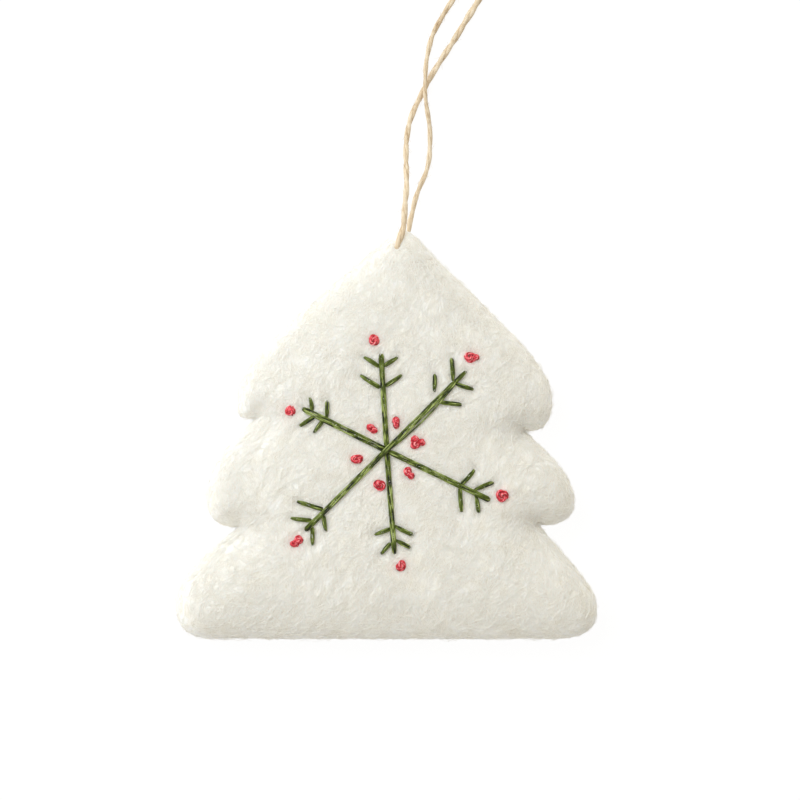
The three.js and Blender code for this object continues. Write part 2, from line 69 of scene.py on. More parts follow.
# Tree outline, as its solids have it
FELT_LOW, FELT_HIGH = corners("felt_front")
TREE_TOP = FELT_HIGH[1]
TREE_FOOT = FELT_LOW[1]
APEX_X = 4.2
APEX_WIDTH = 5.2  # across the rounded top
APEX_ROUND = 0.9  # how far the ends of that rounding lie under the top
FOOT_LEFT = -44.0  # ends of the straight bottom edge
FOOT_RIGHT = 43.5
FOOT_REACH = 7.5  # how far the bottom edge goes on straight before it turns up
NOTCH_REACH = 5.0  # how far a tier's underside goes out straight from its notch
NOTCH_DIP = 0.7  # how far that underside hangs
# Slope is a direction in degrees; reach, shoulder and tuck are the lengths of a tier's handles
LEFT_TIERS = (
    {"slope": 220.5, "reach": 28, "tip": (-38.8, 10), "shoulder": 9, "tuck": 4.6, "notch": (-34.2, 4.3)},
    {"slope": 222, "reach": 8, "tip": (-47, -16.6), "shoulder": 8, "tuck": 4.6, "notch": (-38.6, -24)},
    {"slope": 222, "reach": 9, "tip": (FELT_LOW[0], -44.8), "shoulder": 8, "tuck": 6.4},
)
RIGHT_TIERS = (
    {"slope": -46.4, "reach": 31, "tip": (43.3, 8.6), "shoulder": 10.5, "tuck": 5.2, "notch": (35.8, 1.1)},
    {"slope": -42, "reach": 8, "tip": (49.1, -17.6), "shoulder": 7, "tuck": 4.6, "notch": (39.6, -23.3)},
    {"slope": -53, "reach": 9.5, "tip": (FELT_HIGH[0], -45.2), "shoulder": 6, "tuck": 6.4},
)
NOTCHES = [tier["notch"] for tier in LEFT_TIERS + RIGHT_TIERS if "notch" in tier]
EDGE_STEP = 1.3  # between points of the outline
EDGE_PARTS = 3  # points of the mesh on each edge of the outline
INWARD_REACH = 8  # points on each side that smooth the direction into the outline

# Felted wool
FELT_GAP = FELT_LOW[2] - corners("felt_back")[1][2]
MIDDLE = FELT_LOW[2] - FELT_GAP / 2  # height of the plane through the tree's edge
FELT_RISE = 10.0  # half the thickness at its fullest
EDGE_ROUND = 7.0  # how soon the edge swells to that
CREASE_DEPTH = 0.21  # share of the height lost where two tiers meet at a notch
CREASE_LENGTH = 8.0
CREASE_ABOVE = 3.4  # how far a crease reaches into the tier above it
CREASE_BELOW = 5.5  # and into the one below
HEART = np.array([6.0, 10.5])  # a point that sees the whole outline
RIM_SQUARE = 1.6  # how far the mesh goes in square to the outline before it turns to the heart
RIM_TURN = 0.06  # share of the way to the heart in which it turns
FRONT_RINGS = 150
BACK_RINGS = 70
RING_EASE = 1.8  # rings crowd towards the rim
FELT_LOWEST = 0.02  # over the table
LUMPS = ((12.0, 0.2), (4.0, 0.105), (1.5, 0.058))  # size and height of the felt's lumps, large to fine
NAP = 1.1  # direction in which the wool was rubbed, in radians from X
NAP_WANDER = 1.2
NAP_PATCH = 16.0  # size of the patches in which it wanders
STREAK_WIDTH = 1.7  # ridges that rubbing left, along the nap
STREAK_LENGTH = 5.5
STREAK_HEIGHT = 0.125
STREAK_DRIFT = 5.0  # how far they drift sideways
DRIFT_PATCH = 24.0  # in patches of this size
HELD_STILL = 0.75  # share of lumps and streaks that is lost where a stitch holds the wool down
RIM_CALM = 0.3  # how calm the rim is, where 1 is as calm as under a stitch
RIM_INNER = 0.75  # share of the way to the outline where that starts
DENT_WIDTH = 2.1  # how far the felt is drawn down beside a stitch
KNOT_DENT_WIDTH = 2.2  # and round a French knot
DENT_DEPTH = 0.5
HOLE_WIDTH = 1.0  # and round a stitch's ends
HOLE_DEPTH = 0.4
ENTRY_WIDTH = 1.6  # and where the twine goes in
ENTRY_DEPTH = 0.6
BLUSH_WIDTH = 2.4  # pink tint in the felt round a French knot
BLUSH = 0.35
NAP_SEED, DRIFT_SEED, STREAK_SEED = 7, 8, 9

# Loose wool hairs: rows of five numbers are for the steps along a hair, from end to end
HAIR_STEPS = 5
HAIR_SIDES = 3
HAIR_RADIUS = 0.028  # of a single hair; a real one's is 0.015
HAIR_TAPER = np.sin(np.linspace(0.12, 0.9, HAIR_STEPS) * np.pi)
HAIR_SKEW = np.array([0.35, 0.2, 0.91])  # hairs lie flat, so none runs along this
HAIR_LAID = np.array([-0.1, 0.03, 0.05, 0.03, -0.1])  # height over the felt, with both ends in it
HAIR_ARCH = np.array([0, 1, 1.3, 1, 0])
HAIR_PEEL = np.array([0, 0.1, 0.3, 0.6, 1])  # form of a hair with one end free
HAIR_CURL = 0.12  # spread of the turn at each step
HAIR_SCATTER = 0.8  # spread of the headings about the nap
FRONT_THICK = (1.0, 1.2, 1.8, 2.3)  # thickness in each piece, in single hairs
FRONT_TRIED = 7000  # hairs in each piece, before those that leave the felt are dropped
FRONT_LENGTHS = (3.0, 7.5)
FRONT_ARCH = 0.05  # mean height of the arches, for a single hair
FRONT_FREE = 0.12  # share of hairs with a free end
FRONT_PEELS = (0.1, 0.6)  # how far such ends stand off
FRONT_START, FRONT_STAY = 0.97, 0.99  # shares of the way to the outline within which hairs start and stay
RIM_THICK = (1.3, 2.2)
RIM_TRIED = 6600
RIM_LENGTHS = (1.8, 4.5)
RIM_ARCH = 0.08
RIM_FREE = 0.2
RIM_PEELS = (0.1, 0.9)
RIM_BOW = 0.5  # spread of their bends
RIM_FIRST = int(0.62 * FRONT_RINGS)  # rings, counted from the heart of the front, between which they start
RIM_LAST = int(FRONT_RINGS + 0.55 * BACK_RINGS)
RIM_STAY = 0.8 * RIM_FIRST  # the first ring that they reach
BACK_BARE = 8  # last rings, which they don't reach
RIM_LOWEST = 0.1  # over the table
APEX_BARE = 3.5  # round the apex, where the twine goes in
CROSSING_HAIRS = 170  # over stitches
CROSSING_THICK = 1.5
CROSSING_LENGTHS = (2.4, 4.6)
CROSSING_SHARES = (0.05, 0.95)  # of a stitch's length, between which they cross
CROSSING_SCATTER = 0.6
CROSSING_ARCH = np.array([-0.1, 0.35, 1.15, 0.35, -0.1])  # height over the felt, clear of the stitch
FRONT_SEED, RIM_SEED, CROSSING_SEED = 20, 30, 33

# Embroidery
ARM_NODES = [node for node in frame["nodes"] if node.startswith("arm_")]
BARB_NODES = [node for node in frame["nodes"] if node.startswith("barb_")]
KNOT_NODES = [node for node in frame["nodes"] if node.startswith("knot_")]
END_BAND = 0.25  # height over a stitch solid's lowest corners in which its ends are found
STRAND = 0.2  # radius of a strand of floss
STRAND_SIDES = 7
STRAND_ROUGH = 0.12  # how much its thickness wanders
FLOSS_STEP = 0.3
FLOSS_PITCH = 52.0  # length of one turn of the strands, which lie nearly side by side
FLOSS_FLAT = 0.8 * STRAND  # from a stitch's middle up to the middle of its top strands
DRAW_START, DRAW_END = 0.1, 1.7  # from a needle hole to where a stitch widens and has its full width
DRAWN = 0.5  # share of its width that it has at the hole
HOLE_REACH = 0.55  # from a needle hole to where a stitch lies over the felt
ARM_WIDTHS = {"arm_top": 1.45, "arm_diagonal": 1.45, "arm_left": 1.7, "arm_right": 1.5, "arm_bottom": 1.45,
              "arm_diagonal_tip": 1.2}
ARM_STRANDS = 6  # and one in the middle
STITCH_SINK = 0.05  # how far a stitch's underside lies in the felt
ARM_LIFT = 1.9 * STRAND - STITCH_SINK  # an arm's middle over the felt
ARM_DIVE = 1.5  # how far its ends go down
ARM_SHORT = 0.3  # how far its inner end stays from the snowflake's centre
DIAGONAL_MORE = 1.3  # how far the diagonal goes on beside the stitch that lengthens it
TIP_MORE = 1.6  # and that stitch beside the diagonal
TIP_STRANDS = 5
DIAGONAL_LIFT = 0.6  # how far the diagonal rides over the arms that start under it
DIAGONAL_REACH = 2.0  # and how far along
STRAYED = 1.15  # how far two strands of the diagonal have strayed from the rest
STRAY_WIDTH = 2.2 * STRAND
STRAY_STRANDS = 2
STRAY_DIVE = 1.0
BOW_FULL = 0.6  # a power under 1, which makes a stitch's arc full near its ends
BARB_WIDTH = 1.2
BARB_STRANDS = 5
BARB_LIFT = ARM_LIFT - 0.2 * STRAND
BARB_DIVE = 1.3
BARB_BOW = 0.1  # spread of their arcs
DRAWN_IN = 1.2  # how far a barb's inner end goes in under its arm
LOOSE_BARB = "barb_upper_right_3"
LOOSE_END = -0.8  # this one stops short of its arm
BUN_YARN = 0.23  # from the middle of a French knot's floss to the middle of its strands
BUN_STRAND = 0.23
BUN_STRANDS = 5
BUN_TURNS = 1.9
BUN_LAY = 3.4  # length of one turn of its strands
BUN_SPREAD = 1.15  # its width, as a share of its solid's
BUN_CORE = 0.25  # least reach of its wraps
BUN_UNEVEN = ((2, 0.1), (3, 0.07))  # count and height of the bulges round it
BUN_BED, BUN_RISE, BUN_SINK = 0.3, 0.85, 0.9  # its first wrap over the felt, its climb and its last dive
BUN_CLOSING = 0.85  # share of its reach that the last wraps lose
CLOSES, RISES, SINKS = (0.35, 0.92), (0.05, 0.7), (0.8, 1.0)  # shares of the winding where it does so
BUN_TILT = 0.15
# Places and sizes of the lobes of knots that have pulled apart, as shares of their half width and height
LOBES = {
    "knot_upper_right": ((-0.3, 0.0, 0.88), (0.62, 0.0, 0.5)),
    "knot_lower_left": ((-0.3, -0.35, 0.66), (0.3, 0.32, 0.68)),
    "knot_inner_1": ((-0.28, 0.28, 0.68), (0.34, -0.3, 0.64)),
    "knot_inner_2": ((-0.02, 0.34, 0.72), (0.05, -0.4, 0.66)),
    "knot_inner_3": ((-0.36, 0.36, 0.6), (-0.3, -0.4, 0.62), (0.52, 0.0, 0.52)),
    "knot_inner_4": ((-0.26, 0.32, 0.72), (0.34, -0.42, 0.58)),
}
WHOLE = ((0.0, 0.0, 1.0),)  # a knot in one
LEVEL = np.array([0.05, 0.03, 1.0])  # no wrap runs along this
SNOWFLAKE_SEED, KNOT_SEED = 11, 70
FLOSS_SEEDS = 90  # count of those that stitches draw from

# Twine
CORD = 1.6  # diameter
TWINE_PLY = 0.56  # radius of each of its two plies
TWINE_OFF = 0.19  # from its middle line to the middle of a ply; the plies are soft and press into each other
TWINE_PITCH = 12.0  # length of one turn of the plies
TWINE_SIDES = 16
TWINE_STEP = 0.3
TWINE_RIDGES = 6  # of fibres round a ply
RIDGE_PITCH = 4.0
TWINE_ROUGH = 0.06
GROOVE = (0.95, 1.25)  # distance from the other ply's middle, in radii, from deep in the groove to out of it
# Distance from the axis and the twine's thickness there, as a share of its usual thickness
FRONT_GIRTH = ((-6, 1.15), (0, 1.12), (8, 1.0), (24, 1.0), (40, 1.05), (55, 1.2), (90, 1.15))
BACK_GIRTH = ((-6, 0.95), (10, 0.9), (26, 0.88), (36, 0.74), (45, 0.88), (60, 0.98), (90, 1.0))
LYING = 0.92  # height of its middle where it lies on the table
AXIS = np.array(frame["joints"][0]["pos_m"][:2]) / MM
APEX = np.array([APEX_X, TREE_TOP])
NEEDLE_ENTRY = APEX + (-1.4, -4.2)
# The turn in the felt: places from the apex, and heights from the edge's plane as shares of the felt's swell
FRONT_TURN = ((-1.8, -5.9, 0.6), (-1.4, -4.2, 0.95), (-0.6, -1.9, 0.92), (0.2, 0.65, 0.8))
BACK_TURN = ((0.0, -5.9, -0.6), (0.5, -4.2, -0.95), (1.0, -1.9, -0.92), (1.7, 0.65, -0.8))
STRAND_SPREAD = 0.75  # each strand from the axis
FRONT_LEAVES = 0.76  # height there, as such a share
BACK_LEAVES = -0.8
# Routes over the table, as places from the axis
FRONT_ROUTE = (
    (-0.5, 4.7), (-0.15, 8.2), (-0.15, 12.1), (-0.25, 16.4), (-0.15, 21.2), (0.55, 25.9), (1.85, 29.8),
    (3.55, 33.3), (5.35, 36.8), (7.25, 40.2), (10.05, 44.6), (12.85, 48.9), (15.45, 53.2), (18.45, 58),
    (21, 62.6), (23.4, 67), (25.7, 71.1),
)
BACK_ROUTE = (
    (1.4, 2.6), (2.25, 6.4), (3.55, 9.9), (4.85, 12.9), (5.75, 16.4), (6.05, 19.9), (6.05, 24.2),
    (5.6, 28.1), (5.05, 31.5), (4.75, 35), (4.85, 38.5), (5.05, 41.9), (5.65, 45.4), (6.55, 48.9),
    (7.9, 51.9), (9.65, 55), (11.55, 58), (14.5, 62), (17.8, 66), (21.2, 69.6), (24.1, 72.1),
)
FRONT_FALL = 32.0  # length in which a strand comes down to the table
BACK_FALL = 15.0
STRANDS_CROSS = (4.8, 36.2)
CROSS_HUMP = 15.0  # length in which the back strand climbs over the front one
CROSS_CLIMB = 1.9
LOOP_KNOT = np.array([27.6, 76.3])  # from the axis
LOOP_KNOT_TURN = math.radians(60)
LOOP_KNOT_LENGTH = 7.6
WRAPS = 3
WRAP_STEPS = 60
WRAP_PITCH = 1.75  # between its wraps
WRAP_RADIUS = 1.9
WRAP_TUCK = 0.6  # share of that radius by which its two ends are tucked in
TUCK_START = 0.88  # share of the winding where that starts
LOOP_KNOT_CLIMB = 12.0  # length in which the strands come up to it
LOOP_KNOT_HEIGHT = WRAP_RADIUS + LYING
STRAND_PITCH = 1.95  # between the strands in it
TAIL_LENGTH = 8.5
TAIL_SPLAY = math.radians(12)
TAIL_SHARES = np.array([-0.35, 0, 0.3, 0.7, 1])  # places along a tail; it starts in the knot
TAIL_DROOP = 0.1  # share of its length where it starts to droop
SIDEWAYS = np.array([1.0, 0.0, 0.0])  # no strand runs along this
FIBRE_RADIUS = 0.03
FIBRE_LENGTHS = (0.9, 2.4)
FIBRE_LEANS = (0.75, 1.0)
FIBRE_RISE, FIBRE_BEND = 0.35, 0.25  # how far they stand off and its spread, as shares of their length
FIBRE_DEEP = 0.6 * CORD / 2  # from the twine's middle to where they start
FIBRE_COUNT = 120
FIBRE_LOWEST = 0.06
BARE_START, BARE_END = 20, 4  # steps of a strand with no fibres: in the felt and in the knot
FRAY_RADIUS = 0.05
FRAY_LENGTHS = (1.0, 2.4)
FRAY_FAN = 0.3
FRAY_SPREAD = 0.28
FRAY_DEEP = 0.8  # from the cut back to where they start
FRAY_COUNT = 90
WRAP_SEED, TAIL_SEED, FRAY_SEED, FIBRE_SEED = 5, 8, 50, 60

# Strands of floss and twine
BLUNT = 0.02  # square of the share of its thickness that a strand keeps at its ends
LUMP_ROUND, LUMP_ALONG = 3, 4  # circle and size of the lumps that vary its thickness, in radii
RIDGE_SHARE = 0.5  # height of its ridges, as a share of the lumps'
LUMP_SEED = 40
MAP_SHIFT = 50.0  # sets strands apart on the map, so that no two have the same marks

# Marks in the materials
TUFT = 4.5  # tufts of felted wool
SWIRL = 6.0  # patches in which its fibres swirl
SWIRL_SHARE = 0.004
MATTED = 0.55  # width of its fibres; real ones are 0.03 wide, and these are drawn coarser, to show
MATTED_LAYS = (0.5, 1.9)  # their two directions, in radians
MATTED_DRAWN = 0.16  # their width as a share of their length
TINT = 2.0  # stretches of a hair with one tint
FILAMENTS = 4.0  # bands round half a strand of floss, fewer than its real filaments, to show
FLOSS_TONES = (0.8, 0.4)  # bands of broader tones round half a strand, and in the length of a mark
GREEN_MARK, RED_MARK = 2.0, 0.7  # length of lighter and darker stretches of floss
JUTE_FIBRES = (3.5, 0.5)  # bands round half a ply, fewer than jute's real fibres, to show, and in 1 mm
JUTE_PATCH = 5.0
GROOVE_SHADE = -0.16  # painted shade between its plies: how much darker the jute's colour is there

# View: straight down, with the frame's width on the plane through the tree's edge
VIEW_WIDTH = 209.0
VIEW_CENTRE = (3.53, 9.08)
LENS = 190.0
SENSOR = 36.0
FAR = 100.0  # metres that the camera sees
TABLE_HALF = 20000.0
WINDOWS = (  # name, place and width in metres, power and tint
    ("window", (-0.22, 0.21, 0.46), 0.4, 1.34, (0.74, 0.855, 1.0)),
    ("low_window", (-0.42, -0.03, 0.15), 0.3, 0.36, (0.9, 0.93, 1.0)),
)
ROOM_LIGHT = 0.54
ROOM_RANGE = 0.54  # how much brighter the room is on its bright side
ROOM_BRIGHT = (-0.33, 0.75, 0.57)  # the way to that side
ROOM_TINT = (1.0, 0.96, 0.86, 1.0)


def unit(vectors):
    """Vectors of length 1 along the given ones."""
    return vectors / np.maximum(np.linalg.norm(vectors, axis=-1, keepdims=True), 1e-12)


def smoothstep(value, low, high):
    """A share that eases from 0 at low to 1 at high: three of its squares less two of its cubes."""
    share = np.clip((value - low) / (high - low), 0, 1)
    return share * share * (3 - 2 * share)


def bell(away, width):
    """A bell curve: 1 at no distance, and e to the minus square of the distance in widths."""
    return np.exp(-((away / width) ** 2))


def raised(plan, height):
    """Points over places in plan."""
    return np.concatenate([plan, height[..., None]], axis=-1)


def lumps(points, size, seed):
    """Smooth lumps of about -1 to 1: random slopes on a cubic lattice of a size, eased into each other."""
    cells = 32
    gain = 1.5
    slopes = unit(np.random.default_rng(seed).normal(size=(cells, cells, cells, 3)))
    place = points / size
    cell = np.floor(place).astype(int)
    ease = place - cell
    ease = ease**3 * (ease * (6 * ease - 15) + 10)
    total = np.zeros(points.shape[:-1])
    for corner in np.ndindex(2, 2, 2):
        share = np.prod(np.where(corner, ease, 1 - ease), axis=-1)
        at = (cell + corner) % cells
        slope = slopes[at[..., 0], at[..., 1], at[..., 2]]
        total += share * (slope * (place - cell - corner)).sum(-1)
    return gain * total


def put(name, points, faces, material):
    """A mesh object from points in millimetres and arrays of faces with the same count of corners."""
    mesh = bpy.data.meshes.new(name)
    loops = np.concatenate([array.ravel() for array in faces])
    sizes = np.concatenate([np.full(len(array), array.shape[1]) for array in faces])
    mesh.vertices.add(len(points))
    mesh.vertices.foreach_set("co", (points * MM).ravel())
    mesh.loops.add(len(loops))
    mesh.loops.foreach_set("vertex_index", loops.astype(np.int32))
    mesh.polygons.add(len(sizes))
    mesh.polygons.foreach_set("loop_start", (np.cumsum(sizes) - sizes).astype(np.int32))
    mesh.update(calc_edges=True)
    mesh.validate()
    mesh.shade_smooth()
    mesh.materials.append(material)
    piece = bpy.data.objects.new(name, mesh)
    bpy.context.scene.collection.objects.link(piece)
    return piece


def add_map(piece, name, uv):
    """A UV map with one place for each of the mesh's points."""
    layer = piece.data.uv_layers.new(name=name)
    loops = np.empty(len(piece.data.loops), np.int32)
    piece.data.loops.foreach_get("vertex_index", loops)
    layer.data.foreach_set("uv", uv[loops].astype(np.float32).ravel())


def add_values(piece, name, values):
    """A number for each of the mesh's points, for its material to read."""
    attribute = piece.data.attributes.new(name, "FLOAT", "POINT")
    attribute.data.foreach_set("value", values.astype(np.float32))


# Curves


def run_along(points):
    """Length along a chain of points, from its start to each of them."""
    return np.concatenate([[0], np.cumsum(np.linalg.norm(np.diff(points, axis=0), axis=1))])


def evenly(points, step):
    """Points spaced evenly along a chain of points, without its last one."""
    run = run_along(points)
    count = max(2, round(run[-1] / step))
    places = np.linspace(0, run[-1], count, endpoint=False)
    return np.stack([np.interp(places, run, points[:, k]) for k in range(points.shape[1])], axis=-1)


def bezier(start, leave, arrive, end):
    """Points of a cubic curve from start to end with two handles: their mix by powers of t and 1 - t."""
    t = np.linspace(0, 1, 240)[:, None]
    return (1 - t) ** 3 * start + 3 * (1 - t) ** 2 * t * leave + 3 * (1 - t) * t**2 * arrive + t**3 * end


def through(points, step):
    """A smooth curve through points: cubic pieces, whose slope at a point comes from its neighbours."""
    points = np.asarray(points, float)
    run = run_along(points)
    slopes = np.gradient(points, run, axis=0)
    places = np.linspace(0, run[-1], max(8, round(run[-1] / step)))
    i = np.clip(np.searchsorted(run, places, side="right") - 1, 0, len(run) - 2)
    span = (run[i + 1] - run[i])[:, None]
    t = (places - run[i])[:, None] / span
    return (
        (2 * t**3 - 3 * t**2 + 1) * points[i]
        + (t**3 - 2 * t**2 + t) * span * slopes[i]
        + (3 * t**2 - 2 * t**3) * points[i + 1]
        + (t**3 - t**2) * span * slopes[i + 1]
    )


def directions(paths, reference):
    """Along, across and over at each point; across is square to a direction that no path runs along."""
    along = unit(np.gradient(paths, axis=-2))
    across = unit(np.cross(reference, along))
    return along, across, np.cross(along, across)


# Strands


def turns(sides):
    """Angles of a ring's points."""
    return np.linspace(0, 2 * np.pi, sides, endpoint=False)


def strands(paths, radii, sides, reference):
    """Closed tubes, all at once: the parameters are the step along a path and the turn round it.

    Returns points, faces and a map of the turn and the length. Each end closes in a point.
    """
    many, steps = paths.shape[:2]
    _, across, over = directions(paths, reference)
    turn = turns(sides)
    ring = np.cos(turn)[:, None] * across[:, :, None] + np.sin(turn)[:, None] * over[:, :, None]
    tubes = paths[:, :, None] + np.broadcast_to(radii, (many, steps, sides))[..., None] * ring
    points = np.concatenate([tubes.reshape(many, -1, 3), paths[:, :1], paths[:, -1:]], axis=1)
    here = np.arange(sides)
    after = (here + 1) % sides
    rows = np.arange(steps - 1)[:, None] * sides
    quads = np.stack([rows + here, rows + after, rows + after + sides, rows + here + sides], axis=-1)
    first, last = steps * sides, steps * sides + 1
    end = (steps - 1) * sides
    starts = np.stack([np.full(sides, first), after, here], axis=-1)
    finishes = np.stack([np.full(sides, last), end + here, end + after], axis=-1)
    shift = np.arange(many)[:, None, None] * (last + 1)
    quads = (quads.reshape(-1, 4) + shift).reshape(-1, 4)
    caps = (np.concatenate([starts, finishes]) + shift).reshape(-1, 3)
    run = np.linalg.norm(np.diff(paths, axis=1), axis=2)
    run = np.concatenate([np.zeros((many, 1)), np.cumsum(run, axis=1)], axis=1)
    fold = np.abs(2 * turn / (2 * np.pi) - 1)  # goes there and back, so the map has no seam
    around = np.broadcast_to(fold, (many, steps, sides)).reshape(many, -1)
    around = np.concatenate([around, np.zeros((many, 2))], axis=1)
    length = np.concatenate([np.repeat(run, sides, axis=1), run[:, :1], run[:, -1:]], axis=1)
    length = length + MAP_SHIFT * np.arange(many)[:, None]
    return points.reshape(-1, 3), [quads, caps], np.stack([around, length], axis=-1).reshape(-1, 2)


def bundle(path, count, wide, high, pitch, reference, phase=0.0):
    """Paths of strands laid round a path: places on an ellipse, turning once in each pitch of its length.

    Its width lies square to the path in the plane of the path and the reference, and its height square to
    both.
    """
    run = run_along(path)
    _, across, over = directions(path, reference)
    turn = 2 * np.pi * (run / pitch + np.arange(count)[:, None] / count) + phase
    wide, high = (np.broadcast_to(size, run.shape)[:, None] for size in (wide, high))
    return path + wide * np.cos(turn)[..., None] * over + high * np.sin(turn)[..., None] * across


def rounded(path, radius):
    """Radius along a path that ends in half balls, each a little blunt."""
    run = run_along(path)
    left = np.minimum(run, run[-1] - run) / np.mean(radius)
    return radius * np.sqrt(np.clip(left * (2 - np.minimum(left, 1)), BLUNT, 1))


def spun(paths, radius, reference, sides, seed, ridges=0, pitch=1.0, rough=0.0):
    """Strands along paths. Ridges of fibres wind round each one in a pitch, and lumps vary its thickness."""
    radii = np.stack([rounded(one, radius) for one in paths])[..., None]
    turn = turns(sides)
    run = np.arange(paths.shape[1]) * np.linalg.norm(paths[0, 1] - paths[0, 0])
    wave = np.cos(ridges * turn - 2 * np.pi * run[:, None] / pitch) if ridges else 0.0
    circle = np.stack([np.cos(turn), np.sin(turn), 0 * turn], axis=-1)
    size = np.mean(radius)
    places = paths[:, :, None] + LUMP_ROUND * size * circle
    wander = lumps(places, LUMP_ALONG * size, LUMP_SEED + seed)
    return strands(paths, radii * (1 + rough * (RIDGE_SHARE * wave + wander)), sides, reference)


def merged(parts):
    """Several meshes' points, faces and maps as one."""
    points, faces, maps = zip(*parts)
    starts = np.cumsum([0] + [len(array) for array in points[:-1]])
    quads = np.concatenate([array[0] + start for array, start in zip(faces, starts)])
    caps = np.concatenate([array[1] + start for array, start in zip(faces, starts)])
    return np.concatenate(points), [quads, caps], np.concatenate(maps)


# Materials


def colour(code):
    """Linear colour of an sRGB hex value."""
    parts = np.array([int(code[k:k + 2], 16) for k in (1, 3, 5)]) / 255
    linear = np.where(parts <= 0.04045, parts / 12.92, ((parts + 0.055) / 1.055) ** 2.4)
    return (*linear.tolist(), 1.0)


def per_mm(size):
    """A pattern's scale, from the size of its marks in millimetres."""
    return 1 / (size * MM)


def feed(tree, node, inputs):
    """Gives each input of a node its value, or a link from another node's socket."""
    for name, value in inputs.items():
        if isinstance(value, bpy.types.NodeSocket):
            tree.links.new(value, node.inputs[name])
        else:
            node.inputs[name].default_value = value


def add(tree, kind, inputs=None, **settings):
    """Adds a node with its settings and inputs."""
    node = tree.nodes.new(kind)
    for name, value in settings.items():
        setattr(node, name, value)
    feed(tree, node, inputs or {})
    return node


def new_material(name):
    """A material with its nodes and the shader that they feed."""
    material = bpy.data.materials.new(name)
    material.use_nodes = True
    tree = material.node_tree
    return material, tree, tree.nodes["Principled BSDF"]


def felted_wool():
    """Felted wool: cream fibres wetted and rubbed until they mat.

    No gloss, soft tufts, fine crossing fibres, and light that goes a millimetre into the wool. Its colour is
    darker where its bumps are low: random tone, and painted shade in the hollows.
    """
    material, tree, shader = new_material("felted_wool")
    place = add(tree, "ShaderNodeTexCoord").outputs["Object"]
    tufted = {"Vector": place, "Scale": per_mm(TUFT), "Detail": 3.0}
    tufts = add(tree, "ShaderNodeTexNoise", tufted).outputs[0]
    bend = add(tree, "ShaderNodeTexNoise", {"Vector": place, "Scale": per_mm(SWIRL)}).outputs["Color"]
    bent = {"Factor": SWIRL_SHARE, 4: place, 5: bend}
    swirl = add(tree, "ShaderNodeMix", bent, data_type="VECTOR").outputs[1]
    layers = []
    for turn in MATTED_LAYS:
        drawn = {"Vector": swirl, "Rotation": (0, 0, turn), "Scale": (1, MATTED_DRAWN, 1)}
        laid = add(tree, "ShaderNodeMapping", drawn).outputs[0]
        marks = {"Vector": laid, "Scale": per_mm(MATTED), "Detail": 2.0, "Roughness": 0.6}
        layers.append(add(tree, "ShaderNodeTexNoise", marks).outputs[0])
    fibres = add(tree, "ShaderNodeMix", {"Factor": 0.5, 2: layers[0], 3: layers[1]}).outputs[0]
    # partly painted shade: the marks that bump the felt also darken its colour in their hollows
    shade = add(tree, "ShaderNodeMix", {"Factor": 0.45, 2: tufts, 3: fibres}).outputs[0]
    ramp = add(tree, "ShaderNodeValToRGB", {"Fac": shade})
    for stop, (at, code) in zip(ramp.color_ramp.elements, ((0.36, "#ebe6da"), (0.63, "#fefdf9"))):
        stop.position = at
        stop.color = colour(code)
    # a pink tint in the felt round the French knots, from the mesh's blush values
    blush = add(tree, "ShaderNodeAttribute", attribute_name="blush").outputs["Fac"]
    pink_tinted = {"Factor": blush, 6: ramp.outputs[0], 7: colour("#e9b0a8")}
    feed(tree, shader, {
        "Base Color": add(tree, "ShaderNodeMix", pink_tinted, data_type="RGBA").outputs[2],
        "Normal": add(tree, "ShaderNodeBump", {
            "Height": shade, "Strength": 0.55, "Distance": 0.15 * MM}).outputs[0],
        "Subsurface Weight": 0.4,
        "Subsurface Radius": (1.0, 0.9, 0.75),
        "Subsurface Scale": 1.2 * MM,
        "Roughness": 0.95,
        "Specular IOR Level": 0.15,
    })
    return material


def wool_hair():
    """Single wool hairs, loose on the felt: the same cream, a little yellower or whiter from hair to hair.

    A real hair is 0.03 mm thick. These are drawn thicker, to show, and the thickest stand for small locks.
    Light goes through a hair, which a faint glow stands for: painted light that keeps the hairs' shaded
    sides bright.
    """
    material, tree, shader = new_material("wool_hair")
    place = add(tree, "ShaderNodeTexCoord").outputs["Object"]
    tints = {"Vector": place, "Scale": per_mm(TINT), "Detail": 1.0}
    tint = add(tree, "ShaderNodeTexNoise", tints).outputs[0]
    tinted = {"Factor": tint, 6: colour("#f8f5ec"), 7: colour("#fefcf8")}
    feed(tree, shader, {
        "Base Color": add(tree, "ShaderNodeMix", tinted, data_type="RGBA").outputs[2],
        "Roughness": 0.8,
        "Specular IOR Level": 0.2,
        # painted light: a faint glow that keeps the hairs' shaded sides bright
        "Emission Color": colour("#fbf8f0"),
        "Emission Strength": 0.08,
    })
    return material


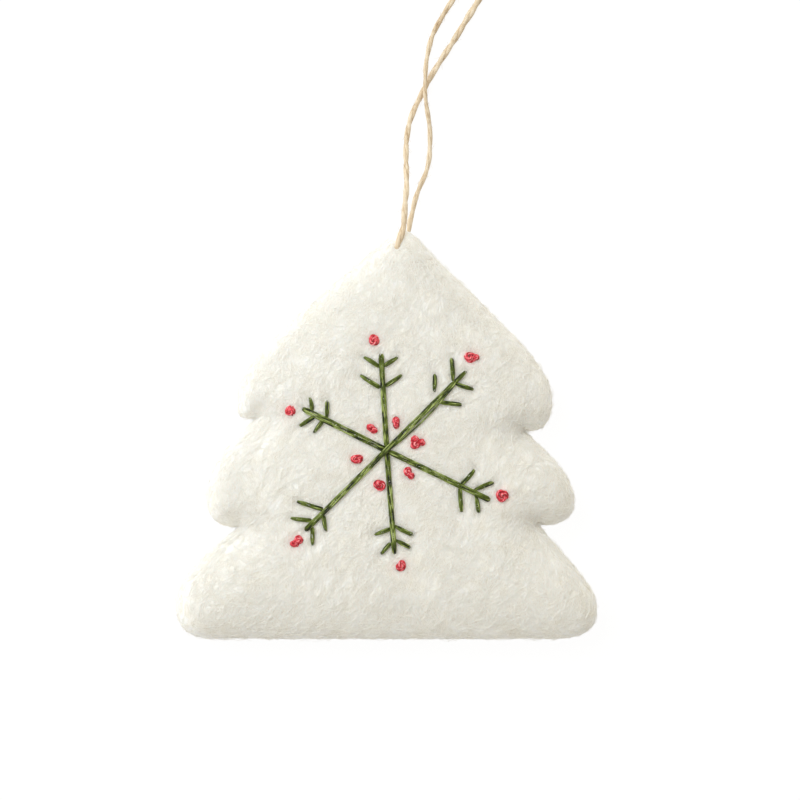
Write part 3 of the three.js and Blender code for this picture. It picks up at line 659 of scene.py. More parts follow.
def stranded_cotton(name, dark, middle, light, mark):
    """Stranded cotton: mercerised filaments laid along each strand, with a soft gleam; its colour is painted
    darker between filaments and lighter on them, mixed with random tone.

    Mark is the length of its lighter and darker stretches in millimetres.
    """
    material, tree, shader = new_material(name)
    thread = add(tree, "ShaderNodeUVMap", uv_map="thread").outputs[0]
    laid = add(tree, "ShaderNodeMapping", {"Vector": thread, "Scale": (FILAMENTS, 1 / mark, 1)}).outputs[0]
    filaments = add(tree, "ShaderNodeTexNoise", {"Vector": laid, "Scale": 1.0, "Detail": 2.0}).outputs[0]
    broad = (FLOSS_TONES[0], FLOSS_TONES[1] / mark, 1)
    whole = add(tree, "ShaderNodeMapping", {"Vector": thread, "Scale": broad}).outputs[0]
    tone = add(tree, "ShaderNodeTexNoise", {"Vector": whole, "Scale": 1.0, "Detail": 1.0}).outputs[0]
    # painted shade and highlight: the filament marks that bump the floss also darken it between filaments
    # and lighten it on them
    shade = add(tree, "ShaderNodeMix", {"Factor": 0.6, 2: filaments, 3: tone}).outputs[0]
    ramp = add(tree, "ShaderNodeValToRGB", {"Fac": shade})
    for stop, (at, code) in zip(ramp.color_ramp.elements, ((0.41, dark), (0.6, light))):
        stop.position = at
        stop.color = colour(code)
    ramp.color_ramp.elements.new(0.5).color = colour(middle)
    feed(tree, shader, {
        "Base Color": ramp.outputs[0],
        "Normal": add(tree, "ShaderNodeBump", {
            "Height": filaments, "Strength": 0.5, "Distance": 0.08 * MM}).outputs[0],
        "Roughness": 0.5,
        "Specular IOR Level": 0.35,
        "Sheen Weight": 0.05,
    })
    return material


def jute_twine():
    """Two-ply jute: dry, coarse tan fibres that wind round each ply, paler on their ridges and browner in
    their hollows and where the plies meet: painted shade, over random tone.
    """
    material, tree, shader = new_material("jute_twine")
    thread = add(tree, "ShaderNodeUVMap", uv_map="thread").outputs[0]
    laid = add(tree, "ShaderNodeMapping", {"Vector": thread, "Scale": (*JUTE_FIBRES, 1)}).outputs[0]
    fibres = add(tree, "ShaderNodeTexNoise", {"Vector": laid, "Scale": 1.0, "Detail": 4.0}).outputs[0]
    place = add(tree, "ShaderNodeTexCoord").outputs["Object"]
    patchy = {"Vector": place, "Scale": per_mm(JUTE_PATCH), "Detail": 2.0}
    patches = add(tree, "ShaderNodeTexNoise", patchy).outputs[0]
    shade = add(tree, "ShaderNodeMix", {"Factor": 0.4, 2: fibres, 3: patches}).outputs[0]
    # painted shade: the colour is darker where a ply meets the other one
    groove = add(tree, "ShaderNodeAttribute", attribute_name="groove").outputs["Fac"]
    groove_painted_shade = {0: groove, 1: GROOVE_SHADE, 2: shade}
    ramp = add(tree, "ShaderNodeValToRGB", {
        "Fac": add(tree, "ShaderNodeMath", groove_painted_shade, operation="MULTIPLY_ADD").outputs[0]})
    for stop, (at, code) in zip(ramp.color_ramp.elements, ((0.32, "#bfa380"), (0.7, "#f3e6d0"))):
        stop.position = at
        stop.color = colour(code)
    ramp.color_ramp.elements.new(0.5).color = colour("#e2ceb0")
    feed(tree, shader, {
        "Base Color": ramp.outputs[0],
        "Normal": add(tree, "ShaderNodeBump", {
            "Height": fibres, "Strength": 0.6, "Distance": 0.15 * MM}).outputs[0],
        "Roughness": 0.85,
        "Specular IOR Level": 0.25,
    })
    return material


def white_card():
    """White card, lit so that it stays white under the tree's shadow."""
    material, tree, shader = new_material("white_card")
    feed(tree, shader, {
        "Base Color": colour("#5c5c5c"),
        "Roughness": 0.9,
        "Emission Color": (1, 1, 1, 1),
        "Emission Strength": 0.905,
    })
    return material


FELT = felted_wool()
HAIR = wool_hair()
GREEN = stranded_cotton("green_stranded_cotton", "#141c00", "#58680f", "#abb86c", GREEN_MARK)
RED = stranded_cotton("red_stranded_cotton", "#880814", "#e82c40", "#ffa6a8", RED_MARK)
TWINE = jute_twine()


# Felted tree


def side_curves(tiers, side, foot):
    """Handles of one side's cubic curves, from the top to the bottom edge; side is -1 on the left."""
    start = np.array([APEX_X + side * APEX_WIDTH / 2, TREE_TOP - APEX_ROUND])
    curves = []
    for tier in tiers:
        tip = np.array(tier["tip"], float)
        angle = math.radians(tier["slope"])
        leave = start + tier["reach"] * np.array([math.cos(angle), math.sin(angle)])
        end = np.array(tier.get("notch", foot), float)
        under = (side * NOTCH_REACH, -NOTCH_DIP) if "notch" in tier else (side * FOOT_REACH, 0)
        curves.append((start, leave, tip + (0, tier["shoulder"]), tip))
        curves.append((tip, tip - (0, tier["tuck"]), end + under, end))
        start = end
    return curves


def outline(step):
    """The outline's points, anticlockwise from the right end of the rounded top, about a step apart."""
    left = side_curves(LEFT_TIERS, -1, (FOOT_LEFT, TREE_FOOT))
    right = side_curves(RIGHT_TIERS, 1, (FOOT_RIGHT, TREE_FOOT))
    climb = [curve[::-1] for curve in right[::-1]]
    lift = np.array([0, APEX_ROUND / 0.75])  # a cubic rises three quarters of its handles
    cap = (right[0][0], right[0][0] + lift, left[0][0] + lift, left[0][0])
    foot = [left[-1][-1] + share * (climb[0][0] - left[-1][-1]) for share in (0, 1 / 3, 2 / 3, 1)]
    return np.concatenate([evenly(bezier(*curve), step) for curve in [cap, *left, foot, *climb]])


def inward(points, reach):
    """Unit vectors into a closed outline, each the mean over a reach of so many points on both sides."""
    along = unit(np.roll(points, -1, axis=0) - np.roll(points, 1, axis=0))
    square = np.stack([-along[:, 1], along[:, 0]], axis=1)
    return unit(sum(np.roll(square, shift, axis=0) for shift in range(-reach, reach + 1)))


EDGES = outline(EDGE_STEP)
PARTS = np.linspace(0, 1, EDGE_PARTS, endpoint=False)[:, None]
OUTLINE = (EDGES[:, None] + PARTS * (np.roll(EDGES, -1, axis=0) - EDGES)[:, None]).reshape(-1, 2)
INWARD = inward(OUTLINE, INWARD_REACH)


def edge_distance(plan):
    """A smooth distance from the outline.

    The pull of every edge, the inverse fourth power of the distance summed along it, is turned back into the
    distance of one long straight edge with that pull. Places are taken a few thousand at a time.
    """
    at_once = 4000
    least = 1e-3
    run = np.roll(EDGES, -1, axis=0) - EDGES
    length = np.linalg.norm(run, axis=1)
    along = run / length[:, None]
    flat = plan.reshape(-1, 2)
    found = []
    for part in np.array_split(flat, max(1, len(flat) // at_once)):
        gap = part[:, None] - EDGES
        near = -(gap * along).sum(-1)
        far = length + near
        off = np.maximum(np.abs(gap[..., 0] * along[:, 1] - gap[..., 1] * along[:, 0]), least)
        pull = [t / (2 * off**2 * (off**2 + t**2)) + np.arctan(t / off) / (2 * off**3) for t in (near, far)]
        found.append((2 / np.pi * (pull[1] - pull[0]).sum(1)) ** (-1 / 3))
    return np.concatenate(found).reshape(plan.shape[:-1])


def swell(plan):
    """Height of the puffed felt over its edge: a round edge, a full middle, and creases at the notches."""
    left = 1.0
    for notch in NOTCHES:
        aside, up = plan[..., 0] - notch[0], plan[..., 1] - notch[1]
        width = np.where(up > 0, CREASE_ABOVE, CREASE_BELOW)
        left = left - CREASE_DEPTH * bell(aside, CREASE_LENGTH) * bell(up, width)
    return FELT_RISE * np.sqrt(1 - np.exp(-edge_distance(plan) / EDGE_ROUND)) * left


def smooth_front(plan):
    """Height of the front at places in plan, before its dents and lumps."""
    return MIDDLE + FELT_GAP / 2 + swell(plan)


def stitch_ends(node):
    """The two ends of a stitch in plan: the middles of the lowest corners in each half of its solid."""
    mesh = frame["nodes"][node].data
    spots = np.empty(len(mesh.vertices) * 3)
    mesh.vertices.foreach_get("co", spots)
    spots = spots.reshape(-1, 3) / MM
    flat = spots[:, :2] - spots[:, :2].mean(0)
    along = np.linalg.svd(flat, full_matrices=False)[2][0]
    halves = [spots[flat @ along < 0], spots[flat @ along > 0]]
    return np.array([half[half[:, 2] < half[:, 2].min() + END_BAND, :2].mean(0) for half in halves])


def beside(plan, ends):
    """Distance in plan from the straight line between two ends."""
    run = ends[1] - ends[0]
    share = np.clip(((plan - ends[0]) @ run) / (run @ run), 0, 1)
    return np.linalg.norm(plan - ends[0] - share[..., None] * run, axis=-1)


STITCHES = {node: stitch_ends(node) for node in ARM_NODES + BARB_NODES}
KNOTS = {node: corners(node) for node in KNOT_NODES}
KNOT_SPOTS = np.array([(low[:2] + high[:2]) / 2 for low, high in KNOTS.values()])


def dents(plan):
    """How far stitches, their ends, knots and twine draw the felt down, and how near it is to floss."""
    near = np.zeros(plan.shape[:-1])
    holes = np.zeros(plan.shape[:-1])
    for ends in STITCHES.values():
        near = np.maximum(near, bell(beside(plan, ends), DENT_WIDTH))
        for end in ends:
            holes = np.maximum(holes, bell(np.linalg.norm(plan - end, axis=-1), HOLE_WIDTH))
    for spot in KNOT_SPOTS:
        near = np.maximum(near, bell(np.linalg.norm(plan - spot, axis=-1), KNOT_DENT_WIDTH))
    entry = bell(np.linalg.norm(plan - NEEDLE_ENTRY, axis=-1), ENTRY_WIDTH)
    return DENT_DEPTH * near + HOLE_DEPTH * holes + ENTRY_DEPTH * entry, near


def lumpy(points, calm):
    """Height of the felt's lumps and streaks; calm is 1 where a stitch holds it down and 0 elsewhere."""
    layers = [height * lumps(points, size, seed) for seed, (size, height) in enumerate(LUMPS)]
    x, y, z = np.moveaxis(points, -1, 0)
    drift = STREAK_DRIFT * lumps(points, DRIFT_PATCH, DRIFT_SEED)
    along = (x * math.cos(NAP) + y * math.sin(NAP)) / STREAK_LENGTH
    across = (y * math.cos(NAP) - x * math.sin(NAP) + drift) / STREAK_WIDTH
    streaks = lumps(np.stack([along, across, z / STREAK_LENGTH], axis=-1), 1.0, STREAK_SEED)
    return (sum(layers) + STREAK_HEIGHT * streaks) * (1 - HELD_STILL * calm)


def front_surface(plan):
    """Height of the finished front at places in plan."""
    drawn, near = dents(plan)
    smooth = smooth_front(plan)
    return smooth - drawn + lumpy(raised(plan, smooth), near)


def plan_rings(shares):
    """Rings in plan, as shares of the way from the heart to the outline.

    Each place moves from the outline to the heart in a straight line, with a step square to the outline at
    its start that is made up for on the way.
    """
    left = 1 - shares
    step = RIM_SQUARE * (1 - np.exp(-left / RIM_TURN)) * shares
    return HEART + shares[:, None, None] * (OUTLINE - HEART) + step[:, None, None] * INWARD


def felt_tree():
    """The felt as one closed surface: rings from the heart of the front over the rim to that of the back.

    The parameters are the ring and the place round the outline. Lumps move it along its own normals. Returns
    its points and those normals.
    """
    shares = [1 - (1 - np.arange(1, count + 1) / count) ** RING_EASE for count in (FRONT_RINGS, BACK_RINGS)]
    front, back = [plan_rings(share) for share in shares]
    drawn, near = dents(front)
    under = np.maximum(MIDDLE - FELT_GAP / 2 - swell(back), 0)
    points = raised(np.concatenate([front, back[::-1]]), np.concatenate([smooth_front(front), under[::-1]]))
    step = np.roll(points, -1, axis=1) - np.roll(points, 1, axis=1)
    normals = unit(np.cross(np.gradient(points, axis=0), step))
    calm = np.concatenate([smoothstep(share, RIM_INNER, 1) for share in (shares[0], shares[1][::-1])])
    calm = np.repeat(RIM_CALM * calm[:, None], len(OUTLINE), axis=1)
    calm[:FRONT_RINGS] = np.maximum(calm[:FRONT_RINGS], near)
    points += lumpy(points, calm)[..., None] * normals
    points[:FRONT_RINGS, :, 2] -= drawn
    points[..., 2] = np.maximum(points[..., 2], FELT_LOWEST)
    return points, normals


def tree_piece(points):
    """The felt's mesh: quads between the rings and a fan at each end."""
    count, around = points.shape[:2]
    here = np.arange(around)
    after = (here + 1) % around
    rows = np.arange(count - 1)[:, None] * around
    quads = np.stack([rows + here, rows + here + around, rows + after + around, rows + after], axis=-1)
    top, under = count * around, count * around + 1
    last = (count - 1) * around
    fans = [
        np.stack([np.full(around, top), here, after], axis=-1),
        np.stack([np.full(around, under), last + after, last + here], axis=-1),
    ]
    spots = np.concatenate([points.reshape(-1, 3), points[:1].mean(1), points[-1:].mean(1)])
    piece = put("felt_tree", spots, [quads.reshape(-1, 4), *fans], FELT)
    blush = np.zeros(len(spots))
    for spot in KNOT_SPOTS:
        blush = np.maximum(blush, bell(np.linalg.norm(spots[:, :2] - spot, axis=1), BLUSH_WIDTH))
    add_values(piece, "blush", BLUSH * blush * (spots[:, 2] > MIDDLE))
    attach(piece, "ornament")
    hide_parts("felt_front", "felt_back", "wool_core")


# Loose wool hairs


def inside(plan, share):
    """True where a place lies within that share of the way from the heart to the outline."""
    away = OUTLINE - HEART
    angle = np.arctan2(away[:, 1], away[:, 0])
    order = np.argsort(angle)
    out = plan - HEART
    bearing = np.arctan2(out[..., 1], out[..., 0])
    reach = np.interp(bearing, angle[order], np.linalg.norm(away, axis=1)[order], period=2 * np.pi)
    return np.linalg.norm(out, axis=-1) < share * reach


def wandering(starts, headings, curl, lengths):
    """Hairs' paths in plan from starting places: each step turns the heading by the curl."""
    turn = headings[:, None] + curl[:, None] * np.arange(HAIR_STEPS - 1)
    hop = (lengths / (HAIR_STEPS - 1))[:, None, None] * np.stack([np.cos(turn), np.sin(turn)], axis=-1)
    return starts[:, None] + np.concatenate([np.zeros((len(starts), 1, 2)), np.cumsum(hop, axis=1)], axis=1)


def hair_lift(rng, count, arch, free, peels):
    """Height of hairs over the felt at each step: arches of a mean height, and a share with a free end."""
    lift = rng.exponential(arch, (count, 1)) * HAIR_ARCH + HAIR_LAID
    loose = rng.random(count) < free
    lift[loose] += rng.uniform(*peels, (loose.sum(), 1)) * HAIR_PEEL
    return lift


def hair_piece(name, paths, radius, material):
    """Thin hairs in one mesh: three-sided strands that taper to both ends, and a flat map of their places in
    plan.
    """
    points, faces, _ = strands(paths, radius * HAIR_TAPER[None, :, None], HAIR_SIDES, HAIR_SKEW)
    piece = put(name, points, faces, material)
    low, high = points.min(0), points.max(0)
    add_map(piece, "OFBake", (points[:, :2] - low[:2]) / (high - low)[:2].max())
    return piece


def wool_hairs(name, paths, thick):
    """Wool hairs on the felt, so many single hairs thick."""
    piece = hair_piece(name, paths, thick * HAIR_RADIUS, HAIR)
    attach(piece, "ornament")


def front_hairs(name, thick, seed):
    """Hairs matted on the front: they follow a wandering nap and mostly lie flat, with a few ends free."""
    rng = np.random.default_rng(seed)
    starts = FELT_LOW[:2] + rng.random((2 * FRONT_TRIED, 2)) * (FELT_HIGH - FELT_LOW)[:2]
    starts = starts[inside(starts, FRONT_START)][:FRONT_TRIED]
    many = len(starts)
    nap = NAP + NAP_WANDER * lumps(raised(starts, np.zeros(many)), NAP_PATCH, NAP_SEED)
    headings = nap + rng.normal(0, HAIR_SCATTER, many)
    curl = rng.normal(0, HAIR_CURL, many)
    paths = wandering(starts, headings, curl, rng.uniform(*FRONT_LENGTHS, many))
    paths = paths[inside(paths, FRONT_STAY).all(axis=1)]
    lift = hair_lift(rng, len(paths), FRONT_ARCH * thick, FRONT_FREE, FRONT_PEELS)
    wool_hairs(name, raised(paths, front_surface(paths) + lift), thick)


def rim_hairs(name, points, normals, thick, seed):
    """Hairs on the rim and the back, walked over the felt's own grid of rings."""
    rng = np.random.default_rng(seed)
    deep, around = points.shape[:2]
    ring = rng.uniform(RIM_FIRST, RIM_LAST, RIM_TRIED)
    place = rng.uniform(0, around, RIM_TRIED)
    heading = rng.uniform(0, 2 * np.pi, RIM_TRIED)
    length = rng.uniform(*RIM_LENGTHS, RIM_TRIED)
    i, j = ring.astype(int), place.astype(int)
    hop_i = np.linalg.norm(points[np.minimum(i + 1, deep - 1), j] - points[i - 1, j], axis=1) / 2
    hop_j = np.linalg.norm(points[i, (j + 1) % around] - points[i, j], axis=1)
    share = np.linspace(-0.5, 0.5, HAIR_STEPS)
    bow = rng.normal(0, RIM_BOW, RIM_TRIED)[:, None] * (share**2 - 0.25)
    go = share + bow * np.sin(heading)[:, None]
    aside = share - bow * np.cos(heading)[:, None]
    at_i = ring[:, None] + go * (length * np.cos(heading) / hop_i)[:, None]
    at_i = np.clip(at_i, RIM_STAY, deep - BACK_BARE)
    at_j = place[:, None] + aside * (length * np.sin(heading) / hop_j)[:, None]
    low_i, low_j = np.floor(at_i).astype(int), np.floor(at_j).astype(int)
    mix_i, mix_j = (at_i - low_i)[..., None], (at_j - low_j)[..., None]

    def on_grid(grid):
        """The grid's value between its points, from the four round each place."""
        near, far = (
            grid[row, low_j % around] * (1 - mix_j) + grid[row, (low_j + 1) % around] * mix_j
            for row in (low_i, low_i + 1)
        )
        return near * (1 - mix_i) + far * mix_i

    lift = hair_lift(rng, RIM_TRIED, RIM_ARCH, RIM_FREE, RIM_PEELS)
    paths = on_grid(points) + lift[..., None] * unit(on_grid(normals))
    from_apex = np.linalg.norm(paths[:, HAIR_STEPS // 2, :2] - APEX, axis=1)
    keep = (paths[..., 2] > RIM_LOWEST).all(axis=1) & (from_apex > APEX_BARE)
    wool_hairs(name, paths[keep], thick)


def crossing_hairs(name, seed):
    """Hairs of the felt that have worked up over the stitches, more or less square to them."""
    rng = np.random.default_rng(seed)
    ends = np.stack(list(STITCHES.values()))
    lengths = np.linalg.norm(ends[:, 1] - ends[:, 0], axis=1)
    pick = rng.choice(len(ends), CROSSING_HAIRS, p=lengths / lengths.sum())
    share = rng.uniform(*CROSSING_SHARES, (CROSSING_HAIRS, 1))
    middle = ends[pick, 0] * (1 - share) + ends[pick, 1] * share
    run = ends[pick, 1] - ends[pick, 0]
    heading = np.arctan2(run[:, 1], run[:, 0]) + np.pi / 2 + rng.normal(0, CROSSING_SCATTER, CROSSING_HAIRS)
    length = rng.uniform(*CROSSING_LENGTHS, CROSSING_HAIRS)
    offset = length[:, None] / 2 * np.stack([np.cos(heading), np.sin(heading)], axis=-1)
    paths = wandering(middle - offset, heading, rng.normal(0, HAIR_CURL, CROSSING_HAIRS), length)
    wool_hairs(name, raised(paths, front_surface(paths) + CROSSING_ARCH), CROSSING_THICK)


# Embroidery


def stitch_path(ends, lift, dive, bow=0.0, over=0.0, at=0.5):
    """A thread from end to end: taut over the felt, and down into its needle holes along a bell curve.

    Bow lets it lie in an arc, and over lifts it over other threads at a share of its length. Returns its
    path and the direction square to it.
    """
    run = ends[1] - ends[0]
    length = np.linalg.norm(run)
    share = np.linspace(0, 1, max(10, round(length / FLOSS_STEP)))
    square = np.array([-run[1], run[0]]) / length
    shift = bow * np.sin(np.pi * share) ** BOW_FULL
    plan = ends[0] + share[:, None] * run + shift[:, None] * square
    down = bell(length * share, HOLE_REACH) + bell(length * (1 - share), HOLE_REACH)
    hump = over * bell((share - at) * length, DIAGONAL_REACH)
    return raised(plan, smooth_front(plan) + lift + hump - dive * down), np.array([*square, 0.0])


def embroidered(prefix, node, parts, material):
    """Strands of floss as one piece on the felt, in place of a plain solid."""
    points, faces, thread = merged(parts)
    piece = put(prefix + node, points, faces, material)
    add_map(piece, "thread", thread)
    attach(piece, "ornament")
    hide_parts(node)


def floss(node, yarns, seed):
    """One stitch of stranded floss: flattened bundles of strands, drawn together towards their needle holes.

    Each yarn is its path, the direction square to it, its width and its count of strands. All but the
    thinnest have one more strand in the middle.
    """
    parts = []
    for k, (path, square, width, count) in enumerate(yarns):
        run = np.linalg.norm(path - path[0], axis=1)
        left = np.minimum(run, run[-1] - run)
        drawn = DRAWN + (1 - DRAWN) * smoothstep(left, DRAW_START, DRAW_END)
        wide = (width / 2 - STRAND) * drawn
        laid = bundle(path, count, wide, FLOSS_FLAT, FLOSS_PITCH, square, phase=seed + k)
        if count > STRAY_STRANDS:
            laid = np.concatenate([laid, path[None]])
        parts.append(spun(laid, STRAND, square, STRAND_SIDES, seed + 3 * k, rough=STRAND_ROUGH))
    embroidered("floss_", node, parts, GREEN)


def lengthened(ends, towards, far):
    """The ends of a stitch, with the one nearer a place moved on along the stitch."""
    ends = ends.copy()
    near = int(np.argmin(np.linalg.norm(ends - towards, axis=1)))
    ends[near] += far * unit(ends[near] - ends[1 - near])
    return ends


def snowflake():
    """The arms and barbs. Arms start under the diagonal, and barbs under their arm."""
    rng = np.random.default_rng(SNOWFLAKE_SEED)
    diagonal, tip = STITCHES["arm_diagonal"], STITCHES["arm_diagonal_tip"]
    starts = [STITCHES[node] for node in ("arm_top", "arm_left", "arm_bottom", "arm_right")]
    centre = np.mean([ends[np.argmin(beside(ends, diagonal))] for ends in starts], axis=0)
    for node in ARM_NODES:
        ends = STITCHES[node]
        over, at, count = 0.0, 0.5, ARM_STRANDS
        if node == "arm_diagonal":
            ends = lengthened(ends, tip.mean(axis=0), DIAGONAL_MORE)
            ends = ends[np.argsort(ends[:, 0])]
            at = np.linalg.norm(ends[0] - centre) / np.linalg.norm(ends[1] - ends[0])
            over = DIAGONAL_LIFT
        elif node == "arm_diagonal_tip":
            ends = lengthened(ends, diagonal.mean(axis=0), TIP_MORE)
            count = TIP_STRANDS
        else:
            ends = lengthened(ends, centre, np.linalg.norm(ends - centre, axis=1).min() - ARM_SHORT)
        yarns = [(*stitch_path(ends, ARM_LIFT, ARM_DIVE, over=over, at=at), ARM_WIDTHS[node], count)]
        if node == "arm_diagonal":
            strayed = stitch_path(np.stack([centre, ends[1]]), ARM_LIFT, STRAY_DIVE, bow=-STRAYED)
            yarns.append((*strayed, STRAY_WIDTH, STRAY_STRANDS))
        floss(node, yarns, int(rng.integers(FLOSS_SEEDS)))
    for node in BARB_NODES:
        ends = STITCHES[node]
        near = [min(beside(end, STITCHES[arm]) for arm in ARM_NODES) for end in ends]
        far = LOOSE_END if node == LOOSE_BARB else DRAWN_IN
        ends = lengthened(ends, ends[int(np.argmin(near))], far)
        path = stitch_path(ends, BARB_LIFT, BARB_DIVE, bow=rng.normal(0, BARB_BOW))
        floss(node, [(*path, BARB_WIDTH, BARB_STRANDS)], int(rng.integers(FLOSS_SEEDS)))


def bun(spot, half, base, rng):
    """Floss wound round and up in a closing, uneven spiral, whose end dives back through its middle."""
    t = np.linspace(0, 1, 100)
    turn = 2 * np.pi * BUN_TURNS * t + rng.uniform(0, 2 * np.pi)
    uneven = 1 + sum(size * np.cos(count * turn + rng.uniform(0, 6)) for count, size in BUN_UNEVEN)
    closing = uneven * (1 - BUN_CLOSING * smoothstep(t, *CLOSES))
    reach = np.maximum(half - (BUN_YARN + BUN_STRAND), BUN_CORE) * closing[:, None]
    plan = spot + reach * np.stack([np.cos(turn), np.sin(turn)], axis=-1)
    height = base + BUN_BED + BUN_RISE * smoothstep(t, *RISES) - BUN_SINK * smoothstep(t, *SINKS)
    return raised(plan, height + BUN_TILT * np.sin(turn + rng.uniform(0, 6)))


def french_knot(node, seed):
    """A French knot of stranded floss: one bun of wraps, or two or three where it has pulled apart."""
    rng = np.random.default_rng(seed)
    low, high = KNOTS[node]
    half = (high - low)[:2] / 2
    spot = (low + high)[:2] / 2
    base = front_surface(spot[None])[0]
    parts = []
    for number, (x, y, size) in enumerate(LOBES.get(node, WHOLE)):
        path = bun(spot + half * (x, y), BUN_SPREAD * half * size, base, rng)
        laid = bundle(path, BUN_STRANDS, BUN_YARN, BUN_YARN, BUN_LAY, LEVEL, phase=rng.uniform(0, 6))
        parts.append(spun(laid, BUN_STRAND, LEVEL, STRAND_SIDES, seed + number, rough=STRAND_ROUGH))
    embroidered("french_", node, parts, RED)


# Twine


TURN_HEIGHT = swell(NEEDLE_ENTRY[None])[0]


def knot_end(end, sideways):
    """A point at an end of the knot, in plan: -1 where the strands come in, 1 where the tails go out."""
    along = np.array([math.cos(LOOP_KNOT_TURN), math.sin(LOOP_KNOT_TURN)])
    square = np.array([-along[1], along[0]])
    return AXIS + LOOP_KNOT + end * LOOP_KNOT_LENGTH / 2 * along + sideways * square


def strand_path(turn, route, side, leaves, fall, hump):
    """A strand's middle line: out of the felt, down to the table, over the other strand, into the knot."""
    start = MIDDLE + leaves * TURN_HEIGHT - LYING
    end = knot_end(-1, side * STRAND_PITCH / 2) - AXIS
    plan = np.array([(side * STRAND_SPREAD, 0), *route, end])
    fallen = start * (1 - smoothstep(plan[:, 1], 0, fall))
    away = np.minimum(np.linalg.norm(plan - STRANDS_CROSS, axis=1) / CROSS_HUMP, 1)
    over = hump * np.cos(away * np.pi / 2) ** 2
    to_knot = np.linalg.norm(plan - end, axis=1)
    climb = (LOOP_KNOT_HEIGHT - LYING) * (1 - smoothstep(to_knot, 0, LOOP_KNOT_CLIMB))
    free = raised(plan + AXIS, LYING + fallen + over + climb)
    held = [(APEX[0] + x, APEX[1] + y, MIDDLE + share * TURN_HEIGHT) for x, y, share in turn]
    in_knot = np.append(knot_end(0, side * STRAND_PITCH / 2), LOOP_KNOT_HEIGHT)
    return through([*held, *free, in_knot], TWINE_STEP)


def twine(name, path, seed, reference=SIDEWAYS, girth=1.0):
    """Two plies wound round a path. Groove, for the material's painted shade, is 1 where a ply meets the
    other one.
    """
    girth = np.broadcast_to(girth, len(path))
    off = TWINE_OFF * girth
    laid = bundle(path, 2, off, off, TWINE_PITCH, reference, phase=seed)
    points, faces, thread = spun(laid, TWINE_PLY * girth, reference, TWINE_SIDES, seed,
                                 ridges=TWINE_RIDGES, pitch=RIDGE_PITCH, rough=TWINE_ROUGH)
    piece = put(name, points, faces, TWINE)
    add_map(piece, "thread", thread)
    plies = points.reshape(2, -1, 3)[:, :-2].reshape(2, len(path), TWINE_SIDES, 3)
    away = np.linalg.norm(plies - laid[::-1, :, None], axis=-1) / (TWINE_PLY * girth[:, None])
    groove = np.zeros((2, len(path) * TWINE_SIDES + 2))
    groove[:, :-2] = 1 - smoothstep(away, *GROOVE).reshape(2, -1)
    add_values(piece, "groove", groove.ravel())
    return piece


def fibre_piece(name, paths, radius):
    """Fibres of the twine in one mesh, none of them under the table."""
    paths[..., 2] = np.maximum(paths[..., 2], FIBRE_LOWEST)
    piece = hair_piece(name, paths, radius, TWINE)
    add_map(piece, "thread", np.zeros((len(piece.data.vertices), 2)))
    return piece


def loose_fibres(name, path, seed):
    """Short fibres that stand off the twine at a slant."""
    rng = np.random.default_rng(seed)
    each = (FIBRE_COUNT, 1)
    at = rng.integers(BARE_START, len(path) - BARE_END, FIBRE_COUNT)
    along, across, over = (part[at] for part in directions(path, SIDEWAYS))
    turn = rng.uniform(0, 2 * np.pi, each)
    out = np.cos(turn) * across + np.sin(turn) * over
    length = rng.uniform(*FIBRE_LENGTHS, each)
    lean = rng.choice([-1.0, 1.0], each) * rng.uniform(*FIBRE_LEANS, each)
    share = np.linspace(0, 1, HAIR_STEPS)[:, None]
    rise = FIBRE_RISE * share + FIBRE_BEND * rng.normal(0, 1, (*each, 1)) * share**2
    reach = (lean * along)[:, None] * share + out[:, None] * np.abs(rise)
    paths = (path[at] + FIBRE_DEEP * out)[:, None] + length[:, None] * reach
    return fibre_piece(name, paths, FIBRE_RADIUS)


def frayed(name, path, seed):
    """Fibres that fan out of a cut end of twine."""
    rng = np.random.default_rng(seed)
    along = unit(path[-1] - path[-4])
    ways = unit(along + FRAY_FAN * rng.normal(size=(FRAY_COUNT, 3)))
    starts = path[-1] - FRAY_DEEP * along + FRAY_SPREAD * rng.normal(size=(FRAY_COUNT, 3))
    share = np.linspace(0, 1, HAIR_STEPS)[:, None]
    paths = starts[:, None] + rng.uniform(*FRAY_LENGTHS, (FRAY_COUNT, 1, 1)) * share * ways[:, None]
    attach(fibre_piece(name, paths, FRAY_RADIUS), "hanging_loop")


def swings(piece):
    """Puts the piece's transform into its mesh."""
    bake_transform(piece)


def hanging_loop():
    """The loop's two strands with their loose fibres, each from the turn in the felt to the knot."""
    routes = {
        "front": ((FRONT_TURN, FRONT_ROUTE, -1, FRONT_LEAVES, FRONT_FALL, 0.0), FRONT_GIRTH),
        "back": ((BACK_TURN, BACK_ROUTE, 1, BACK_LEAVES, BACK_FALL, CROSS_CLIMB), BACK_GIRTH),
    }
    for seed, (name, (route, girths)) in enumerate(routes.items()):
        path = strand_path(*route)
        girth = np.interp(path[:, 1] - AXIS[1], *np.array(girths).T)
        piece = twine(f"twine_{name}", path, seed, girth=girth)
        hairs = loose_fibres(f"twine_{name}_hairs", path, FIBRE_SEED + seed)
        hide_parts(f"cord_{name}_strand", "cord_turn")
        swings(piece)
        swings(hairs)


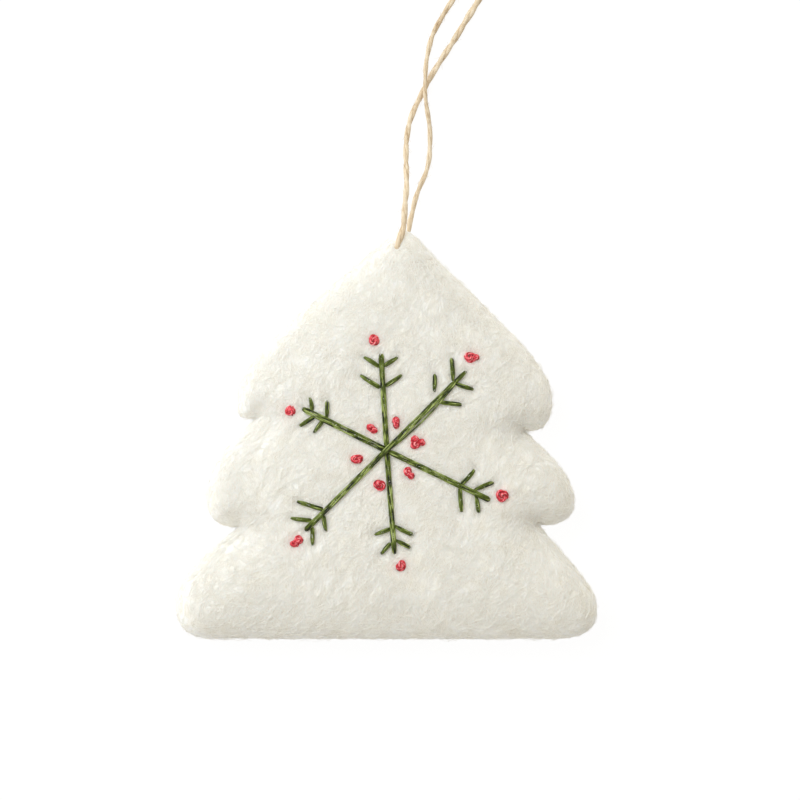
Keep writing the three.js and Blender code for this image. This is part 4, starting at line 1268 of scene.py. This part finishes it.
def loop_knot():
    """The knot: twine wound round both strands, as a helix along the knot with its ends tucked in."""
    t = np.linspace(0, 1, WRAP_STEPS * WRAPS)
    turn = 2 * np.pi * WRAPS * t
    along = np.array([math.cos(LOOP_KNOT_TURN), math.sin(LOOP_KNOT_TURN), 0])
    square = np.array([-along[1], along[0], 0])
    up = np.array([0, 0, 1.0])
    tuck = WRAP_TUCK * (smoothstep(t, TUCK_START, 1) + smoothstep(1 - t, TUCK_START, 1))
    ring = np.cos(turn)[:, None] * square + np.sin(turn)[:, None] * up
    spine = np.append(AXIS + LOOP_KNOT, LOOP_KNOT_HEIGHT) + (WRAP_PITCH * WRAPS * (t - 0.5))[:, None] * along
    piece = twine("twine_knot", spine + (WRAP_RADIUS * (1 - tuck))[:, None] * ring, WRAP_SEED, along)
    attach(piece, "hanging_loop")
    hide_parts("cord_knot")


def tails():
    """The two cut ends: out of the knot, drooping to the table and splayed."""
    for number, side in enumerate((-1, 1)):
        turn = LOOP_KNOT_TURN + side * TAIL_SPLAY
        out = np.array([math.cos(turn), math.sin(turn)])
        plan = knot_end(1, side * STRAND_PITCH / 2) + TAIL_LENGTH * TAIL_SHARES[:, None] * out
        height = LOOP_KNOT_HEIGHT - (LOOP_KNOT_HEIGHT - LYING) * smoothstep(TAIL_SHARES, TAIL_DROOP, 1)
        path = through(raised(plan, height), TWINE_STEP)
        name = f"twine_tail_{number + 1}"
        piece = twine(name, path, TAIL_SEED + number)
        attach(piece, "hanging_loop")
        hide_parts(f"cord_tail_{number + 1}")
        frayed(f"{name}_fray", path, FRAY_SEED + number)


# Table, light and view


def table():
    """A wide white table under the part."""
    places = TABLE_HALF * np.array([(-1.0, -1, 0), (1, -1, 0), (1, 1, 0), (-1, 1, 0)])
    put("table", places, [np.array([[0, 1, 2, 3]])], white_card())


def room():
    """A pale room, brighter towards one side: its light grows with the cosine from that side."""
    world = bpy.data.worlds.new("room")
    bpy.context.scene.world = world
    world.use_nodes = True
    tree = world.node_tree
    way = add(tree, "ShaderNodeTexCoord").outputs["Generated"]
    facing = add(tree, "ShaderNodeVectorMath", {0: way, 1: ROOM_BRIGHT}, operation="DOT_PRODUCT")
    light = {0: facing.outputs["Value"], 1: ROOM_RANGE, 2: ROOM_LIGHT}
    strength = add(tree, "ShaderNodeMath", light, operation="MULTIPLY_ADD").outputs[0]
    feed(tree, tree.nodes["Background"], {"Color": ROOM_TINT, "Strength": strength})


def windows():
    """A wide soft light from the upper left and a low one from the left, both turned to the part."""
    for name, spot, size, power, tint in WINDOWS:
        lamp = bpy.data.lights.new(name, "AREA")
        lamp.size = size
        lamp.energy = power
        lamp.color = tint
        window = bpy.data.objects.new(name, lamp)
        bpy.context.scene.collection.objects.link(window)
        window.location = spot
        window.rotation_mode = "QUATERNION"
        window.rotation_quaternion = (-window.location).to_track_quat("-Z", "Y")


def view():
    """A camera straight over the part, as far off as its lens needs for the frame's width."""
    camera = bpy.data.cameras.new("camera")
    camera.lens = LENS
    camera.sensor_width = SENSOR
    camera.clip_end = FAR
    eye = bpy.data.objects.new("camera", camera)
    eye.location = (VIEW_CENTRE[0] * MM, VIEW_CENTRE[1] * MM, (MIDDLE + VIEW_WIDTH * LENS / SENSOR) * MM)
    scene = bpy.context.scene
    scene.collection.objects.link(eye)
    scene.camera = eye
    scene.view_settings.view_transform = "Standard"


table()
room()
windows()
view()
hanging_loop()
loop_knot()
tails()
POINTS, NORMALS = felt_tree()
tree_piece(POINTS)
snowflake()
for number, knot in enumerate(KNOT_NODES):
    french_knot(knot, KNOT_SEED + number)
for number, thick in enumerate(FRONT_THICK):
    front_hairs(f"wool_hairs_front_{number + 1}", thick, FRONT_SEED + number)
for number, thick in enumerate(RIM_THICK):
    rim_hairs(f"wool_hairs_rim_{number + 1}", POINTS, NORMALS, thick, RIM_SEED + number)
crossing_hairs("wool_hairs_crossing", CROSSING_SEED)
